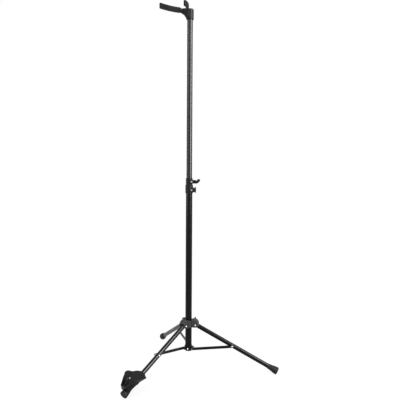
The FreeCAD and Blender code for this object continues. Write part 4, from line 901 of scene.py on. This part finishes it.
class STAND_OT_stage(bpy.types.Operator):
    """Sets up floor, backdrop, lamps and camera"""
    bl_idname = "stand.stage"
    bl_label = "Stage"

    def execute(self, context):
        settings = context.scene.stage_settings
        self.floor(settings)
        self.backdrop(context.scene)
        self.lamps(settings)
        self.camera(context.scene, settings)
        context.scene.view_settings.view_transform = "Standard"
        return {"FINISHED"}

    def floor(self, settings):
        """A round pale floor, a disc of rings about the column."""
        reach = np.array(FLOOR_RINGS)[:, None]
        a = np.linspace(0, 2 * math.pi, FLOOR_TURNS, endpoint=False)[None, :]
        level = 0 * a + 0 * reach - FLOOR_DROP
        rings = np.stack([reach * np.cos(a), reach * np.sin(a), level], -1)
        mesh = bpy.data.meshes.new("floor")
        faces = [face[::-1] for face in ring_faces(len(reach), FLOOR_TURNS)]
        mesh.from_pydata(rings.reshape(-1, 3).tolist(), [], faces + [list(range(FLOOR_TURNS))])
        floor = bpy.data.objects.new("floor", mesh)
        bpy.context.collection.objects.link(floor)
        finish = bpy.data.materials.new("studio_floor")
        finish.use_nodes = True
        tree = finish.node_tree
        tree.nodes.clear()
        lit = tree.nodes.new("ShaderNodeBsdfDiffuse")
        lit.inputs["Color"].default_value = (*settings.floor, 1)
        kept = tree.nodes.new("ShaderNodeBsdfDiffuse")
        kept.inputs["Color"].default_value = (FLOOR_SHADED, FLOOR_SHADED, FLOOR_SHADED, 1)
        glow = tree.nodes.new("ShaderNodeEmission")
        glow.inputs["Strength"].default_value = FLOOR_GLOW
        shown = tree.nodes.new("ShaderNodeAddShader")
        choice = tree.nodes.new("ShaderNodeMixShader")
        output = tree.nodes.new("ShaderNodeOutputMaterial")
        tree.links.new(kept.outputs[0], shown.inputs[0])
        tree.links.new(glow.outputs[0], shown.inputs[1])
        tree.links.new(seen_directly(tree), choice.inputs["Fac"])
        tree.links.new(lit.outputs[0], choice.inputs[1])
        tree.links.new(shown.outputs[0], choice.inputs[2])
        tree.links.new(choice.outputs[0], output.inputs["Surface"])
        mesh.materials.append(finish)

    def backdrop(self, scene):
        """A white world that lights the stand softly and looks white itself."""
        world = bpy.data.worlds.new("studio")
        world.use_nodes = True
        tree = world.node_tree
        tree.nodes.clear()
        dim = tree.nodes.new("ShaderNodeBackground")
        dim.inputs["Strength"].default_value = WORLD_LIGHT
        white = tree.nodes.new("ShaderNodeBackground")
        for node in (dim, white):
            node.inputs["Color"].default_value = (1, 1, 1, 1)
        white.inputs["Strength"].default_value = WORLD_SEEN
        choice = tree.nodes.new("ShaderNodeMixShader")
        output = tree.nodes.new("ShaderNodeOutputWorld")
        tree.links.new(seen_directly(tree), choice.inputs["Fac"])
        tree.links.new(dim.outputs[0], choice.inputs[1])
        tree.links.new(white.outputs[0], choice.inputs[2])
        tree.links.new(choice.outputs[0], output.inputs["Surface"])
        scene.world = world

    def lamps(self, settings):
        """Three soft boxes round the stand. The front fill lights every surface, and the other
        two show only in reflections."""
        for name, side, distance, height, size, power in LAMPS:
            direction = settings.camera_side + math.radians(side)
            spot = Vector((distance * math.cos(direction), distance * math.sin(direction), height))
            lamp = bpy.data.lights.new(name, "AREA")
            lamp.shape = "RECTANGLE"
            lamp.size, lamp.size_y = size
            lamp.energy = power
            stand = bpy.data.objects.new(name, lamp)
            stand.location = spot
            aim = Vector((0, 0, spot.z if name != "front_fill" else FILL_AIM)) - spot
            stand.rotation_euler = aim.to_track_quat("-Z", "Y").to_euler()
            stand.visible_diffuse = name == "front_fill"
            bpy.context.collection.objects.link(stand)

    def camera(self, scene, settings):
        """A camera at the photograph's side, turned a little aside, down and over, with its view
        shifted down."""
        data = bpy.data.cameras.new("camera")
        data.lens = settings.lens
        data.sensor_width = FILM_WIDTH
        data.shift_y = settings.shift_up
        data.clip_end = FAR_END
        camera = bpy.data.objects.new("camera", data)
        side = settings.camera_side
        camera.matrix_world = Matrix.Translation((
            settings.camera_distance * math.cos(side), settings.camera_distance * math.sin(side),
            settings.camera_height)) \
            @ Matrix.Rotation(side + settings.camera_yaw + math.pi / 2, 4, "Z") \
            @ Matrix.Rotation(math.pi / 2 - settings.camera_pitch, 4, "X") \
            @ Matrix.Rotation(settings.camera_roll, 4, "Z")
        bpy.context.collection.objects.link(camera)
        scene.camera = camera


class STAND_PT_panel(bpy.types.Panel):
    """Lists the stand's pieces, sizes and finishes"""
    bl_label = "Double Bass Stand"
    bl_idname = "STAND_PT_panel"
    bl_space_type = "VIEW_3D"
    bl_region_type = "UI"
    bl_category = "Bass Stand"

    def draw(self, context):
        for operator in OPERATORS:
            self.layout.operator(operator.bl_idname)
        for group in ("stand_shapes", "stand_finishes", "stage_settings"):
            settings = getattr(context.scene, group)
            box = self.layout.box()
            for key in settings.__annotations__:
                box.prop(settings, key)


OPERATORS = (STAND_OT_frame_finishes, STAND_OT_endpin_cup, STAND_OT_rubber_feet,
             STAND_OT_fork_sleeves, STAND_OT_handles, STAND_OT_stage)
GROUPS = {"stand_shapes": StandShapes, "stand_finishes": StandFinishes,
          "stage_settings": StageSettings}


def register():
    for kind in (*GROUPS.values(), *OPERATORS, STAND_PT_panel):
        bpy.utils.register_class(kind)
    for name, kind in GROUPS.items():
        setattr(bpy.types.Scene, name, bpy.props.PointerProperty(type=kind))


def unregister():
    for name in GROUPS:
        delattr(bpy.types.Scene, name)
    for kind in reversed((*GROUPS.values(), *OPERATORS, STAND_PT_panel)):
        bpy.utils.unregister_class(kind)


def main():
    register()
    bpy.ops.stand.frame_finishes()
    bpy.ops.stand.endpin_cup()
    bpy.ops.stand.rubber_feet()
    bpy.ops.stand.fork_sleeves()
    bpy.ops.stand.handles()
    bpy.ops.stand.stage()


if __name__ == "__main__":
    main()
